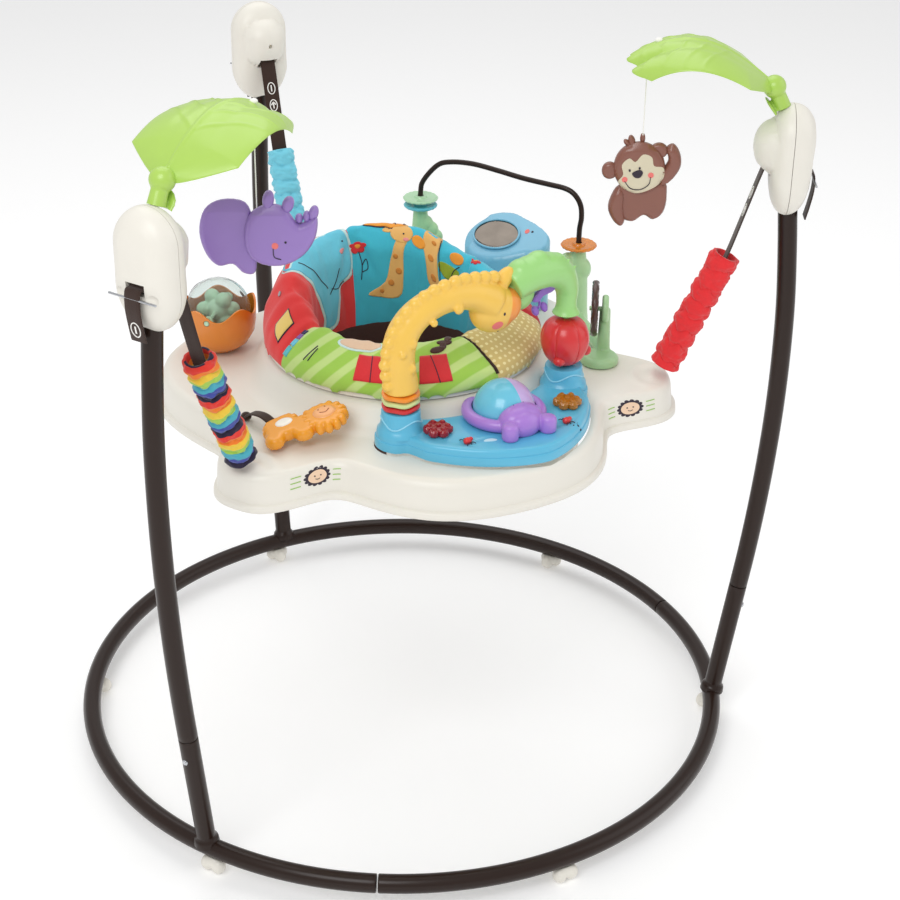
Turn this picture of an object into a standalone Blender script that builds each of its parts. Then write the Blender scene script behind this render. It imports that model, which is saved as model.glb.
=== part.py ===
"""Activity jumper: a floor ring with three posts that carry a bouncing toy tray and a turning seat.

Units are metres and +Z is up. -Y is the front, the side of the music console that the child faces.
The parts are built about the floor ring's centre. Each group has a station: an empty turned about Z,
whose +X points away from that centre, whose +Y runs anticlockwise, and whose Z is the height above the
floor. At the end the whole jumper is set forward by REAR_OVERHANG, so that the origin is on the floor
under the middle of its bounding box.
"""

import math

import bmesh
import bpy
from mathutils import Matrix, Vector

# Driving dimensions
REAR_OVERHANG = 0.024
RING_RADIUS = 0.400
RING_HEIGHT = 0.030
TUBE_RADIUS = 0.0111
TUBE_WALL = 0.0012
SWAGE_RADIUS = 0.0084
TUBE_SIDES_RESOLUTION = 1
FOOT_AZIMUTH = 31.5
GAP = 0.0004

POSTS = {"rear": 90, "left": 210, "right": 330}
STUB_TOP = (0.422, 0.195)
POST_TOP_HEIGHT = 0.762
SEAM_RADIUS = 0.433
HOUSING_BOTTOM = 0.690
HOUSING_TOP = 0.818
HOUSING_HALF_WIDTH = 0.036

STRAP_WIDTH = 0.020
STRAP_THICKNESS = 0.0018
SLEEVE_TOP = (0.3720, 0.6370)
SLEEVE_BOTTOM = (0.3095, 0.4960)
SLEEVE_RADIUS = 0.0175
SPRING_RADIUS = 0.0110
SPRING_TURNS = 6

DECK_TOP = 0.482
DECK_BOTTOM = 0.438
DECK_WALL = 0.003
COLLAR_TOP = 0.514
SEAT_HOLE_RADIUS = 0.144
COLLAR_RADIUS = 0.163
SLOPE_END_RADIUS = 0.192
WAIST_RADIUS = 0.245
LOBE_RADIUS = 0.322
BULGES = {270: (0.301, 34, 3.5), 150: (0.292, 30, 2.2), 30: (0.292, 30, 2.2)}

SEAT_PAD_RADIUS = 0.1665
SEAT_RIM_TOPS = [(0, 0.575), (30, 0.588), (60, 0.612), (90, 0.618), (120, 0.613), (150, 0.604)]
SEAT_RIM_TOPS += [(167, 0.590), (186, 0.568), (210, 0.563), (300, 0.562), (335, 0.564), (360, 0.575)]
SEAT_FRONT_INWARD = 0.030
LEG_HOLE_RADIUS = 0.042

CONSOLE_AZIMUTH = 277
CONSOLE_TOP = 0.503
CONSOLE_WALL = 0.003
PEDESTAL_ALONG = 0.1115
ARCH_RADIUS = 0.167
CHARM_PIVOT = (0.0765, 0.6290)
FRUIT_HEIGHT = 0.5548
BALL_RADIUS = 0.035
BALL_CENTRE = (0.2065, -0.001, 0.5120)

RATTLE_AZIMUTH = 141
RATTLE_CENTRE = (0.229, 0.0, 0.533)
RATTLE_RADIUS = 0.0390

MIRROR_AZIMUTH = 31.5
MIRROR_LEAN = 27
MIRROR_HEIGHT = 0.568
RAIL_START = Vector((0.124, 0.206, 0.0))
RAIL_END = Vector((0.2521, 0.0326, 0.0))
RAIL_FOOT_SHARE = 1.021
RAIL_WIRE_RADIUS = 0.0033
POD_TOPS = (0.5920, 0.5785)
DISC_RADIUS = 0.0225
DISC_BORE = 0.0040
PLAQUE_CENTRE = Vector((0.219, -0.073, 0.545))
PLAQUE_AXIS = Vector((0.848, -0.530, 0.0))
PLAQUE_RADIUS = 0.034

LEAF_ROOT = (0.409, 0.837)
PENDANT_RADIUS = 0.268
CORD_TOP = 0.871
PENDANT_THICKNESS = 0.018

COLOURS = {
    "brown_paint": ((0.055, 0.035, 0.025), 0.25, 0.0),
    "cream_plastic": ((0.80, 0.77, 0.70), 0.35, 0.0),
    "brown_webbing": ((0.045, 0.028, 0.020), 0.85, 0.0),
    "leaf_green": ((0.42, 0.68, 0.13), 0.35, 0.0),
    "spring_steel": ((0.60, 0.60, 0.62), 0.30, 1.0),
    "rainbow_cloth": ((0.75, 0.30, 0.12), 0.9, 0.0),
    "red_cloth": ((0.75, 0.06, 0.05), 0.9, 0.0),
    "aqua_cloth": ((0.25, 0.65, 0.75), 0.9, 0.0),
    "seat_cloth": ((0.20, 0.60, 0.72), 0.9, 0.0),
    "sky_plastic": ((0.22, 0.58, 0.75), 0.3, 0.0),
    "circuit_green": ((0.05, 0.25, 0.10), 0.5, 0.0),
    "lilac_plastic": ((0.45, 0.30, 0.68), 0.3, 0.0),
    "aqua_plastic": ((0.30, 0.70, 0.80), 0.2, 0.0),
    "red_lens": ((0.45, 0.01, 0.02), 0.1, 0.0),
    "amber_lens": ((0.65, 0.28, 0.02), 0.1, 0.0),
    "red_plastic": ((0.72, 0.05, 0.05), 0.3, 0.0),
    "yellow_plastic": ((0.85, 0.62, 0.15), 0.35, 0.0),
    "orange_plastic": ((0.90, 0.40, 0.05), 0.25, 0.0),
    "clear_plastic": ((0.80, 0.90, 0.85), 0.05, 0.0),
    "mirror": ((0.85, 0.87, 0.88), 0.03, 1.0),
    "mint_plastic": ((0.45, 0.75, 0.50), 0.35, 0.0),
    "brown_plastic": ((0.25, 0.11, 0.07), 0.35, 0.0),
    "cream_ring": ((0.75, 0.85, 0.50), 0.35, 0.0),
}

for old in list(bpy.data.objects):
    bpy.data.objects.remove(old)
PARTS = bpy.data.collections.new("activity_jumper")
CUTTERS = bpy.data.collections.new("cutters")
bpy.context.scene.collection.children.link(PARTS)
bpy.context.scene.collection.children.link(CUTTERS)


# ---------------------------------------------------------------- helpers


def material(name):
    """The Principled material of that name, made once."""
    found = bpy.data.materials.get(name)
    if found:
        return found
    colour, roughness, metallic = COLOURS[name]
    made = bpy.data.materials.new(name)
    made.use_nodes = True
    shader = made.node_tree.nodes["Principled BSDF"]
    shader.inputs["Base Color"].default_value = (*colour, 1.0)
    shader.inputs["Roughness"].default_value = roughness
    shader.inputs["Metallic"].default_value = metallic
    return made


def station(name, azimuth, radius=0.0, height=0.0):
    """An empty whose +X points away from the centre at that azimuth, in degrees."""
    empty = bpy.data.objects.new(name, None)
    PARTS.objects.link(empty)
    empty.rotation_euler.z = math.radians(azimuth)
    empty.location = Matrix.Rotation(math.radians(azimuth), 3, "Z") @ Vector((radius, 0, height))
    return empty


def add(name, data, colour, parent=None, collection=PARTS):
    obj = bpy.data.objects.new(name, data)
    collection.objects.link(obj)
    obj.parent = parent
    if colour:
        data.materials.append(material(colour))
    if isinstance(data, bpy.types.Mesh):
        data.shade_smooth()
        data.set_sharp_from_angle(angle=math.radians(40))
    return obj


def hide(obj):
    """Makes obj a cutter: it shapes other parts and isn't one itself."""
    obj.hide_render = True
    obj.display_type = "WIRE"
    for holder in list(obj.users_collection):
        holder.objects.unlink(obj)
    CUTTERS.objects.link(obj)
    return obj


def boolean(obj, tool, operation="DIFFERENCE"):
    modifier = obj.modifiers.new(operation.lower(), "BOOLEAN")
    modifier.operation = operation
    modifier.solver = "EXACT"
    modifier.object = tool
    if tool.name not in CUTTERS.objects:
        hide(tool)
    return obj


def union(obj, *tools):
    for tool in tools:
        boolean(obj, tool, "UNION")
    return obj


def solidify(obj, thickness, offset=-1.0):
    modifier = obj.modifiers.new("wall", "SOLIDIFY")
    modifier.thickness = thickness
    modifier.offset = offset
    return obj


def mesh_from(build):
    """A mesh that build(bm) fills, with its faces pointing out."""
    bm = bmesh.new()
    build(bm)
    bmesh.ops.recalc_face_normals(bm, faces=bm.faces)
    mesh = bpy.data.meshes.new("mesh")
    bm.to_mesh(mesh)
    bm.free()
    return mesh


def box(name, size, centre, colour=None, parent=None):
    place = Matrix.Translation(centre) @ Matrix.Diagonal((*size, 1.0))
    return add(name, mesh_from(lambda bm: bmesh.ops.create_cube(bm, size=1.0, matrix=place)), colour, parent)


def cylinder(name, radius, start, end, colour=None, parent=None, top_radius=None, segments=16):
    """A closed cylinder or cone from start to end."""
    start, end = Vector(start), Vector(end)
    turn = (end - start).to_track_quat("Z", "Y").to_matrix().to_4x4()
    place = Matrix.Translation((start + end) / 2) @ turn

    def build(bm):
        bmesh.ops.create_cone(
            bm,
            cap_ends=True,
            segments=segments,
            radius1=radius,
            radius2=radius if top_radius is None else top_radius,
            depth=(end - start).length,
            matrix=place,
        )

    return add(name, mesh_from(build), colour, parent)


def ellipsoid(name, radii, centre, colour=None, parent=None, segments=14, rings=9, turn=0.0):
    """A sphere scaled to three radii, turned about X by turn degrees."""
    rotate = Matrix.Rotation(math.radians(turn), 4, "X")
    place = Matrix.Translation(centre) @ rotate @ Matrix.Diagonal((*radii, 1.0))

    def build(bm):
        bmesh.ops.create_uvsphere(bm, u_segments=segments, v_segments=rings, radius=1.0, matrix=place)

    return add(name, mesh_from(build), colour, parent)


def path_curve(name, points, radius, colour=None, parent=None, radii=None, resolution=2, caps=True):
    """A round bar along a polyline; radii scales it at each point."""
    curve = bpy.data.curves.new(name, "CURVE")
    curve.dimensions = "3D"
    curve.bevel_depth = radius
    curve.bevel_resolution = resolution
    curve.use_fill_caps = caps
    spline = curve.splines.new("POLY")
    spline.points.add(len(points) - 1)
    for i, point in enumerate(points):
        spline.points[i].co = (*point, 1.0)
        spline.points[i].radius = radii[i] if radii else 1.0
    return add(name, curve, colour, parent)


def as_mesh(obj):
    """The curve made a mesh, so that it can be cut or joined. Its loose caps are welded on."""
    graph = bpy.context.evaluated_depsgraph_get()
    mesh = bpy.data.meshes.new_from_object(obj.evaluated_get(graph))
    bm = bmesh.new()
    bm.from_mesh(mesh)
    bmesh.ops.remove_doubles(bm, verts=bm.verts, dist=1e-6)
    bm.to_mesh(mesh)
    bm.free()
    name, parent, basis = obj.name, obj.parent, obj.matrix_basis.copy()
    bpy.data.objects.remove(obj)
    made = add(name, mesh, None, parent)
    made.matrix_basis = basis
    return made


def hollow_tube(name, points, radii, colour, parent=None):
    """A tube along a polyline, open at both ends, with TUBE_WALL thick walls."""
    bar = path_curve(name, points, 1.0, colour, parent, radii, TUBE_SIDES_RESOLUTION, caps=False)
    return solidify(as_mesh(bar), TUBE_WALL)


def flat_piece(name, outline, thickness, colour, parent=None):
    """A flat outline in local X and Y, thickness deep about its own plane."""
    curve = bpy.data.curves.new(name, "CURVE")
    curve.dimensions = "2D"
    curve.fill_mode = "BOTH"
    curve.extrude = thickness / 2
    spline = curve.splines.new("POLY")
    spline.points.add(len(outline) - 1)
    for i, (x, y) in enumerate(outline):
        spline.points[i].co = (x, y, 0.0, 1.0)
    spline.use_cyclic_u = True
    return add(name, curve, colour, parent)


def loft(name, rings, colour, parent=None, capped=False):
    """A surface through rings of equally many points, from the middle outwards and then down the outside."""

    def build(bm):
        loops = [[bm.verts.new(point) for point in ring] for ring in rings]
        for a, b in zip(loops, loops[1:]):
            for i in range(len(a)):
                j = (i + 1) % len(a)
                bm.faces.new((a[i], b[i], b[j], a[j]))
        if capped:
            bm.faces.new(loops[0])
            bm.faces.new(list(reversed(loops[-1])))

    return add(name, mesh_from(build), colour, parent)


def lathe(name, profile, colour, parent=None, steps=24, closed=False):
    """The profile of (radius, height) points turned about Z. It runs down its outer side."""
    mesh = bpy.data.meshes.new(name)
    count = len(profile)
    edges = [(i, i + 1) for i in range(count - 1)] + ([(count - 1, 0)] if closed else [])
    mesh.from_pydata([(r, 0.0, z) for r, z in profile], edges, [])
    obj = add(name, mesh, colour, parent)
    screw = obj.modifiers.new("turn", "SCREW")
    screw.axis = "Z"
    screw.steps = screw.render_steps = steps
    screw.use_merge_vertices = True
    screw.merge_threshold = 1e-5
    screw.use_smooth_shade = True
    return obj


def disc_outline(discs, steps):
    """The outline of a union of discs (x, y, radius), seen from the first disc's centre."""
    x0, y0, _ = discs[0]
    outline = []
    for k in range(steps):
        angle = 2 * math.pi * k / steps
        ux, uy = math.cos(angle), math.sin(angle)
        reach = 0.0
        for x, y, radius in discs:
            along = (x - x0) * ux + (y - y0) * uy
            across = (x - x0) * uy - (y - y0) * ux
            if abs(across) < radius:
                reach = max(reach, along + math.sqrt(radius * radius - across * across))
        outline.append((x0 + reach * ux, y0 + reach * uy))
    return outline


def arc_points(radius, start, end, count, height=0.0):
    """Points on a circle about Z between two azimuths in degrees."""
    angles = [math.radians(start + (end - start) * k / (count - 1)) for k in range(count)]
    return [(radius * math.cos(a), radius * math.sin(a), height) for a in angles]


def polar(radius, azimuth):
    """The (x, y) point at that radius and azimuth, in degrees."""
    a = math.radians(azimuth)
    return radius * math.cos(a), radius * math.sin(a)


def along(start, end, share):
    """The (radius, height) pair at that share of the way from start to end."""
    return tuple(a + (b - a) * share for a, b in zip(start, end))


# ---------------------------------------------------------------- floor ring and posts


def base_tube(place, azimuth):
    """A third of the floor ring with a swaged end, and the welded stub that a post plugs into."""
    step = 10
    swage_angle = 2.5
    seam = 0.17
    first = azimuth - 90
    chord = RING_RADIUS * math.cos(math.radians(step / 2)) / math.cos(math.radians(step / 2 - swage_angle))
    swage = [(*polar(chord, first - swage_angle), RING_HEIGHT), (*polar(RING_RADIUS, first), RING_HEIGHT)]
    body = arc_points(RING_RADIUS, first, first + 120, 120 // step + 1, RING_HEIGHT)
    body[0] = (*polar(RING_RADIUS, first + seam), RING_HEIGHT)
    body[-1] = (*polar(RING_RADIUS, first + 120 - seam), RING_HEIGHT)
    radii = [SWAGE_RADIUS] * len(swage) + [TUBE_RADIUS] * len(body)
    tube = hollow_tube(f"base_tube_{place}", swage + body, radii, "brown_paint")

    centre = station(f"stub_station_{place}", azimuth)
    line = [(RING_RADIUS, 0, RING_HEIGHT), (STUB_TOP[0], 0, STUB_TOP[1])]
    stub = hollow_tube(f"stub_{place}", line, [TUBE_RADIUS] * 2, None, centre)
    cope = as_mesh(path_curve(f"cope_{place}", swage + body, TUBE_RADIUS - TUBE_WALL / 2, resolution=1))
    boolean(stub, cope)
    head = cylinder(f"screw_head_{place}", 0.0032, *screw_line(0.165), parent=centre, segments=8)
    return union(tube, stub, head)


def screw_line(height):
    """Where the post's locking screw stands out of the stub, on the side away from the centre."""
    share = (height - RING_HEIGHT) / (STUB_TOP[1] - RING_HEIGHT)
    radius = RING_RADIUS + share * (STUB_TOP[0] - RING_RADIUS)
    return (radius + TUBE_RADIUS - 0.0015, 0, height), (radius + TUBE_RADIUS + 0.0018, 0, height)


def post_line():
    """(radius, height) points of a post's bowed centre line above its stub."""
    bow = [(0.4221, 0.1956), (0.4285, 0.245), (0.4350, 0.305), (0.4405, 0.370), (0.4445, 0.440)]
    top = [(0.4460, 0.510), (0.4450, 0.580), (0.4405, 0.650), (0.4355, 0.710), (0.4330, POST_TOP_HEIGHT)]
    return bow + top


def post(place, azimuth):
    """The upper post tube. Its swaged foot slides into the stub."""
    centre = station(f"post_station_{place}", azimuth)
    foot = along((RING_RADIUS, RING_HEIGHT), STUB_TOP, 0.72)
    neck = along((RING_RADIUS, RING_HEIGHT), STUB_TOP, 1.0)
    line = [foot, neck] + post_line()
    radii = [SWAGE_RADIUS] * 2 + [TUBE_RADIUS] * len(post_line())
    return hollow_tube(f"post_{place}", [(r, 0, z) for r, z in line], radii, "brown_paint", centre)


def foot(name, azimuth):
    """A rounded pad clipped on the underside of the ring."""
    centre = station(f"{name}_station", azimuth, RING_RADIUS)
    profile = [(0, 0.0260), (0.0150, 0.0260), (0.0175, 0.0200), (0.0165, 0.0110)]
    profile += [(0.0120, 0.0030), (0.0095, 0), (0, 0)]
    pad = lathe(name, profile, "cream_plastic", centre, steps=10)
    saddle = cylinder(
        f"{name}_saddle",
        TUBE_RADIUS + 0.0015,
        (0, -0.03, RING_HEIGHT),
        (0, 0.03, RING_HEIGHT),
        parent=centre,
    )
    return boolean(pad, saddle)


# ---------------------------------------------------------------- housings and suspension


def housing_half(name, azimuth, side):
    """Half a strap housing, split on the post's axis. side is 1 away from the centre, -1 towards it."""
    centre = station(f"{name}_station", azimuth, SEAM_RADIUS)
    middle_height = 0.770
    segments = 16
    plateau = 0.0245 if side > 0 else 0.0215

    def outline(k):
        """A capsule, slightly narrower at its foot."""
        angle = 2 * math.pi * k / segments
        y = HOUSING_HALF_WIDTH * math.cos(angle)
        z = math.sin(angle)
        if z >= 0:
            return y, HOUSING_TOP - HOUSING_HALF_WIDTH - middle_height + HOUSING_HALF_WIDTH * z
        square = abs(z) ** 0.5
        widen = 1.12 if abs(z) > 0.3 else 1.0
        return y * (1 - 0.10 * square) * widen, (HOUSING_BOTTOM - middle_height) * square

    def depth(y, z, share):
        edge = math.sqrt(max(0.0, 1 - share**4))
        bump = max(0.0, 1 - (y * y + z * z) / 0.030**2) if side < 0 else 0.0
        return side * (GAP / 2 + plateau * edge + 0.0195 * math.sqrt(bump) * edge)

    shares = [0.45, 0.80, 0.96, 1.0]
    rings = []
    for share in shares:
        points = [tuple(share * c for c in outline(k)) for k in range(segments)]
        rings.append([(depth(y, z, share), y, middle_height + z) for y, z in points])
    tip = [(depth(0, 0, 0), 0.0, middle_height)] * segments
    shell = loft(name, [tip] + rings, "cream_plastic", centre)
    weld_and_face(shell, side)
    solidify(shell, 0.0026)
    hole_radius = TUBE_RADIUS + 0.0018
    boolean(shell, cylinder(f"{name}_post_hole", hole_radius, (0.004, 0, 0.66), (0, 0, 0.76), parent=centre))
    seam = (side * (GAP - 0.025), 0, middle_height)
    boolean(shell, box(f"{name}_seam", (0.05, 0.12, 0.2), seam, parent=centre))
    slot_height = 0.744 if side < 0 else 0.741
    slot = box(f"{name}_slot", (0.06, 0.0225, 0.012), (side * 0.034, 0, slot_height), parent=centre)
    return boolean(shell, slot)


def weld_and_face(obj, side):
    """Joins the points that meet at a tip, and turns an open shell's faces away from the seam plane."""
    bm = bmesh.new()
    bm.from_mesh(obj.data)
    bmesh.ops.remove_doubles(bm, verts=bm.verts, dist=1e-6)
    bmesh.ops.recalc_face_normals(bm, faces=bm.faces)
    bm.faces.ensure_lookup_table()
    if sum(f.normal.x * f.calc_area() for f in bm.faces) * side < 0:
        bmesh.ops.reverse_faces(bm, faces=bm.faces)
    bm.to_mesh(obj.data)
    bm.free()


def strap_line():
    """(radius, height) points of the webbing: tail, over the post's top, and down to the spring."""
    tail = [(0.4625, 0.684), (0.4645, 0.700), (0.4640, 0.728), (0.4610, 0.7395), (0.4530, 0.7425)]
    over = [(0.4500, 0.755), (0.4470, 0.768), (0.4330, 0.776), (0.4190, 0.768), (0.4110, 0.752)]
    down = [(0.4040, 0.742), along(SLEEVE_TOP, SLEEVE_BOTTOM, 0.0), along(SLEEVE_TOP, SLEEVE_BOTTOM, 0.26)]
    return tail + over + down


def strap(place, azimuth):
    """Webbing that runs through the housing. Its path is flat, so it is a 2D curve stood on edge."""
    centre = station(f"strap_station_{place}", azimuth)
    curve = bpy.data.curves.new(f"strap_{place}", "CURVE")
    curve.dimensions = "2D"
    curve.fill_mode = "NONE"
    curve.extrude = STRAP_WIDTH / 2
    spline = curve.splines.new("POLY")
    line = strap_line()
    spline.points.add(len(line) - 1)
    for i, (radius, height) in enumerate(line):
        spline.points[i].co = (radius, height, 0.0, 1.0)
    ribbon = add(f"strap_{place}", curve, "brown_webbing", centre)
    ribbon.rotation_euler.x = math.pi / 2
    return solidify(ribbon, STRAP_THICKNESS, offset=0.0)


def suspension_axis(share):
    """A point of the line from the sleeve's top to its foot, as a station's (x, y, z)."""
    radius, height = along(SLEEVE_TOP, SLEEVE_BOTTOM, share)
    return Vector((radius, 0, height))


def sleeve(place, azimuth, colour):
    """The gathered cloth sleeve round a spring, open at both ends."""
    centre = station(f"sleeve_station_{place}", azimuth)
    top, foot_end = suspension_axis(0), suspension_axis(1)
    length = (top - foot_end).length
    inner = SLEEVE_RADIUS - 0.0028
    profile = [(SLEEVE_RADIUS, length), (SLEEVE_RADIUS, 0), (inner, 0), (inner, length)]
    tube = lathe(f"sleeve_{place}", profile, colour, centre, steps=12, closed=True)
    tube.location = foot_end
    tube.rotation_euler.y = math.atan2(top.x - foot_end.x, top.z - foot_end.z)
    return tube


def spring(place, azimuth):
    """The coil spring that carries the tray, inside its sleeve."""
    centre = station(f"spring_station_{place}", azimuth)
    top, foot_end = suspension_axis(0.33), suspension_axis(0.93)
    points_per_turn = 6
    count = SPRING_TURNS * points_per_turn
    length = (top - foot_end).length
    points = []
    for k in range(count + 1):
        angle = 2 * math.pi * k / points_per_turn
        points.append((SPRING_RADIUS * math.cos(angle), SPRING_RADIUS * math.sin(angle), length * k / count))
    coil = path_curve(f"spring_{place}", points, 0.0013, "spring_steel", centre, resolution=0)
    coil.location = foot_end
    coil.rotation_euler.y = math.atan2(top.x - foot_end.x, top.z - foot_end.z)
    return coil


# ---------------------------------------------------------------- leaves and hanging toys


def leaf(place, azimuth):
    """An arched three-lobed leaf on a ball and stem, clipped on a housing's top."""
    centre = station(f"leaf_station_{place}", azimuth)
    across = 8
    lengthwise = 7
    rows = []
    for i in range(lengthwise + 1):
        t = i / lengthwise
        half_width = 0.010 + 0.056 * min(1.0, 5.0 * t) ** 0.8 * math.cos(0.85 * max(0.0, t - 0.35)) ** 2
        row = []
        for j in range(across + 1):
            s = 2 * j / across - 1
            lobes = 0.014 * (1 - abs(math.cos(1.5 * math.pi * s))) * t**3
            radius = LEAF_ROOT[0] - 0.004 - 0.160 * t + lobes + 0.012 * s * s * t
            arch = 0.060 * math.sin(math.pi * (0.08 + 0.72 * t)) - 0.010
            height = LEAF_ROOT[1] + arch - 0.017 * s * s * math.sin(math.pi * min(1.0, 0.15 + 0.7 * t))
            row.append((radius, half_width * s, height))
        rows.append(row)

    def build(bm):
        grid = [[bm.verts.new(point) for point in row] for row in rows]
        for a, b in zip(grid, grid[1:]):
            for j in range(across):
                bm.faces.new((a[j], b[j], b[j + 1], a[j + 1]))

    blade = add(f"leaf_{place}", mesh_from(build), "leaf_green", centre)
    solidify(blade, 0.0024, offset=0.0)
    ball = ellipsoid(f"leaf_ball_{place}", (0.0130,) * 3, (LEAF_ROOT[0], 0, LEAF_ROOT[1]), parent=centre)
    stem = cylinder(
        f"leaf_stem_{place}",
        0.0105,
        (0.4235, 0, HOUSING_TOP - 0.0165),
        (LEAF_ROOT[0], 0, LEAF_ROOT[1]),
        parent=centre,
        top_radius=0.0085,
        segments=12,
    )
    clear = 0.0006
    housing_clear = ellipsoid(
        f"leaf_housing_clearance_{place}",
        (0.0340 + clear, HOUSING_HALF_WIDTH + clear, HOUSING_HALF_WIDTH + clear),
        (SEAM_RADIUS, 0, HOUSING_TOP - HOUSING_HALF_WIDTH),
        parent=centre,
        segments=20,
        rings=14,
    )
    return boolean(union(blade, ball, stem), housing_clear)


def pendant(name, azimuth, colour, discs, cord_foot, turn=0):
    """A flat animal on its cord, turned from facing across the leaf. Its hinge is the cord's top."""
    hinge = station(f"{name}_hinge", azimuth, PENDANT_RADIUS, CORD_TOP)
    body = as_mesh(flat_piece(name, disc_outline(discs, 48), PENDANT_THICKNESS, colour, hinge))
    body.data.materials.append(material(colour))
    body.rotation_euler = (math.pi / 2, 0, math.radians(turn))
    body.location.z = cord_foot - CORD_TOP
    cord_end = (0, 0, cord_foot - CORD_TOP - 0.004)
    cord = cylinder(f"{name}_cord", 0.0009, (0, 0, 0), cord_end, parent=hinge, segments=6)
    return union(body, cord)


# ---------------------------------------------------------------- tray and seat


def angle_between(a, b):
    return abs((a - b + 180) % 360 - 180)


def deck_radius(azimuth):
    """The tray's outline: a lobe under each strap, a bulge under each toy station, and waists between."""
    radius = WAIST_RADIUS
    for place in POSTS.values():
        radius += (LOBE_RADIUS - WAIST_RADIUS) * math.exp(-((angle_between(azimuth, place) / 12.6) ** 3.0))
    for place, (reach, spread, power) in BULGES.items():
        radius += (reach - WAIST_RADIUS) * math.exp(-((angle_between(azimuth, place) / spread) ** power))
    return radius


def deck():
    """The tray moulding: a collar round the seat hole, a sloping ring, the toy deck and an outer skirt."""
    segments = 60
    azimuths = [360 * k / segments for k in range(segments)]

    def ring(radius_at, height):
        points = []
        for azimuth in azimuths:
            a = math.radians(azimuth)
            r = radius_at(azimuth)
            points.append((r * math.cos(a), r * math.sin(a), height))
        return points

    def rim(inset):
        return lambda azimuth: deck_radius(azimuth) - inset

    rings = [
        ring(lambda _: SEAT_HOLE_RADIUS, 0.494),
        ring(lambda _: SEAT_HOLE_RADIUS, COLLAR_TOP),
        ring(lambda _: COLLAR_RADIUS, COLLAR_TOP - 0.001),
        ring(lambda _: COLLAR_RADIUS + 0.008, COLLAR_TOP - 0.010),
        ring(lambda _: SLOPE_END_RADIUS, DECK_TOP),
        ring(rim(0.012), DECK_TOP - 0.001),
        ring(rim(0.003), DECK_TOP - 0.010),
        ring(rim(0.001), DECK_BOTTOM + 0.009),
        ring(rim(-0.004), DECK_BOTTOM + 0.006),
        ring(rim(-0.004), DECK_BOTTOM),
    ]
    shell = loft("tray_deck", rings, "cream_plastic")
    weld_up(shell)
    solidify(shell, DECK_WALL)
    console_station = station("well_station", CONSOLE_AZIMUTH)
    well = flat_piece("console_well", console_outline(0.0008), 0.08, None, console_station)
    well.location.z = DECK_TOP
    boolean(shell, as_mesh(well))
    x, y, height = BALL_CENTRE
    ends = (x, y, 0.46), (x, y, height)
    notch = cylinder("ball_notch", BALL_RADIUS + 0.0012, *ends, parent=console_station, segments=24)
    return boolean(shell, notch)


def weld_up(obj):
    """Turns an open surface's faces up and outwards."""
    mesh = obj.data
    if sum(p.normal.z * p.area for p in mesh.polygons) < 0:
        mesh.flip_normals()


def seat_ring():
    """The plastic ring that turns in the tray's hole and carries the seat pad."""
    profile = [
        (COLLAR_RADIUS - 0.0020, 0.5220),
        (COLLAR_RADIUS - 0.0020, COLLAR_TOP + 0.0015),
        (SEAT_HOLE_RADIUS - 0.0045, COLLAR_TOP + 0.0015),
        (SEAT_HOLE_RADIUS - 0.0045, 0.492),
        (SEAT_HOLE_RADIUS - 0.0095, 0.492),
        (SEAT_HOLE_RADIUS - 0.0095, 0.5220),
    ]
    return lathe("seat_ring", profile, "cream_plastic", steps=24, closed=True)


def seat_top(azimuth):
    """The height of the padded rim: low at the front, high behind the child's back."""
    for (a, low), (b, high) in zip(SEAT_RIM_TOPS, SEAT_RIM_TOPS[1:]):
        if a <= azimuth <= b:
            return low + (high - low) * 0.5 * (1 - math.cos(math.pi * (azimuth - a) / (b - a)))
    raise ValueError("an azimuth is between 0 and 360 degrees")


def seat_inward(azimuth):
    """How far the crest of the padded rim lies inwards: most in front of the child, nil behind it."""
    return SEAT_FRONT_INWARD * math.cos(math.radians(angle_between(azimuth, 275)) / 2) ** 2


def seat_pad():
    """The cloth seat: a padded rim over the seat ring, and a sling below it with two leg holes."""
    segments = 24
    skirt = COLLAR_TOP + 0.0015
    inside = SEAT_HOLE_RADIUS - 0.0110
    profile = [
        (0.045, 0.366, 0.0, 0.0),
        (0.098, 0.384, 0.0, 0.0),
        (0.113, 0.430, 0.0, 0.0),
        (0.115, 0.495, 0.0, 0.5),
        (0.120, 0.515, 0.65, 1.0),
        (0.128, 0.515, 0.94, 1.0),
        (0.137, 0.515, 1.0, 1.0),
        (0.146, 0.515, 0.93, 0.75),
        (0.155, 0.515, 0.75, 0.45),
        (SEAT_PAD_RADIUS, 0.515, 0.40, 0.0),
        (SEAT_PAD_RADIUS, skirt, 0.0, 0.0),
        (COLLAR_RADIUS - 0.0008, skirt, 0.0, 0.0),
        (COLLAR_RADIUS - 0.0008, 0.5235, 0.0, 0.0),
        (inside, 0.5235, 0.0, 0.0),
        (inside, 0.490, 0.0, 0.0),
        (0.120, 0.430, 0.0, 0.0),
        (0.104, 0.378, 0.0, 0.0),
        (0.045, 0.3605, 0.0, 0.0),
    ]
    rings = []
    for radius, height, rise, share in profile:
        ring = []
        for k in range(segments):
            azimuth = 360 * k / segments
            a = math.radians(azimuth)
            r = radius - share * seat_inward(azimuth)
            z = height + rise * (seat_top(azimuth) - height)
            ring.append((r * math.cos(a), r * math.sin(a), z))
        rings.append(ring)
    pad = loft("seat_pad", rings, "seat_cloth", capped=True)
    for side, name in ((-1, "left"), (1, "right")):
        start = (side * 0.058, -0.034, 0.44)
        end = (side * 0.086, -0.060, 0.32)
        boolean(pad, cylinder(f"leg_hole_{name}", LEG_HOLE_RADIUS, start, end))
    return pad


# ---------------------------------------------------------------- console, arch and its toys


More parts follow.
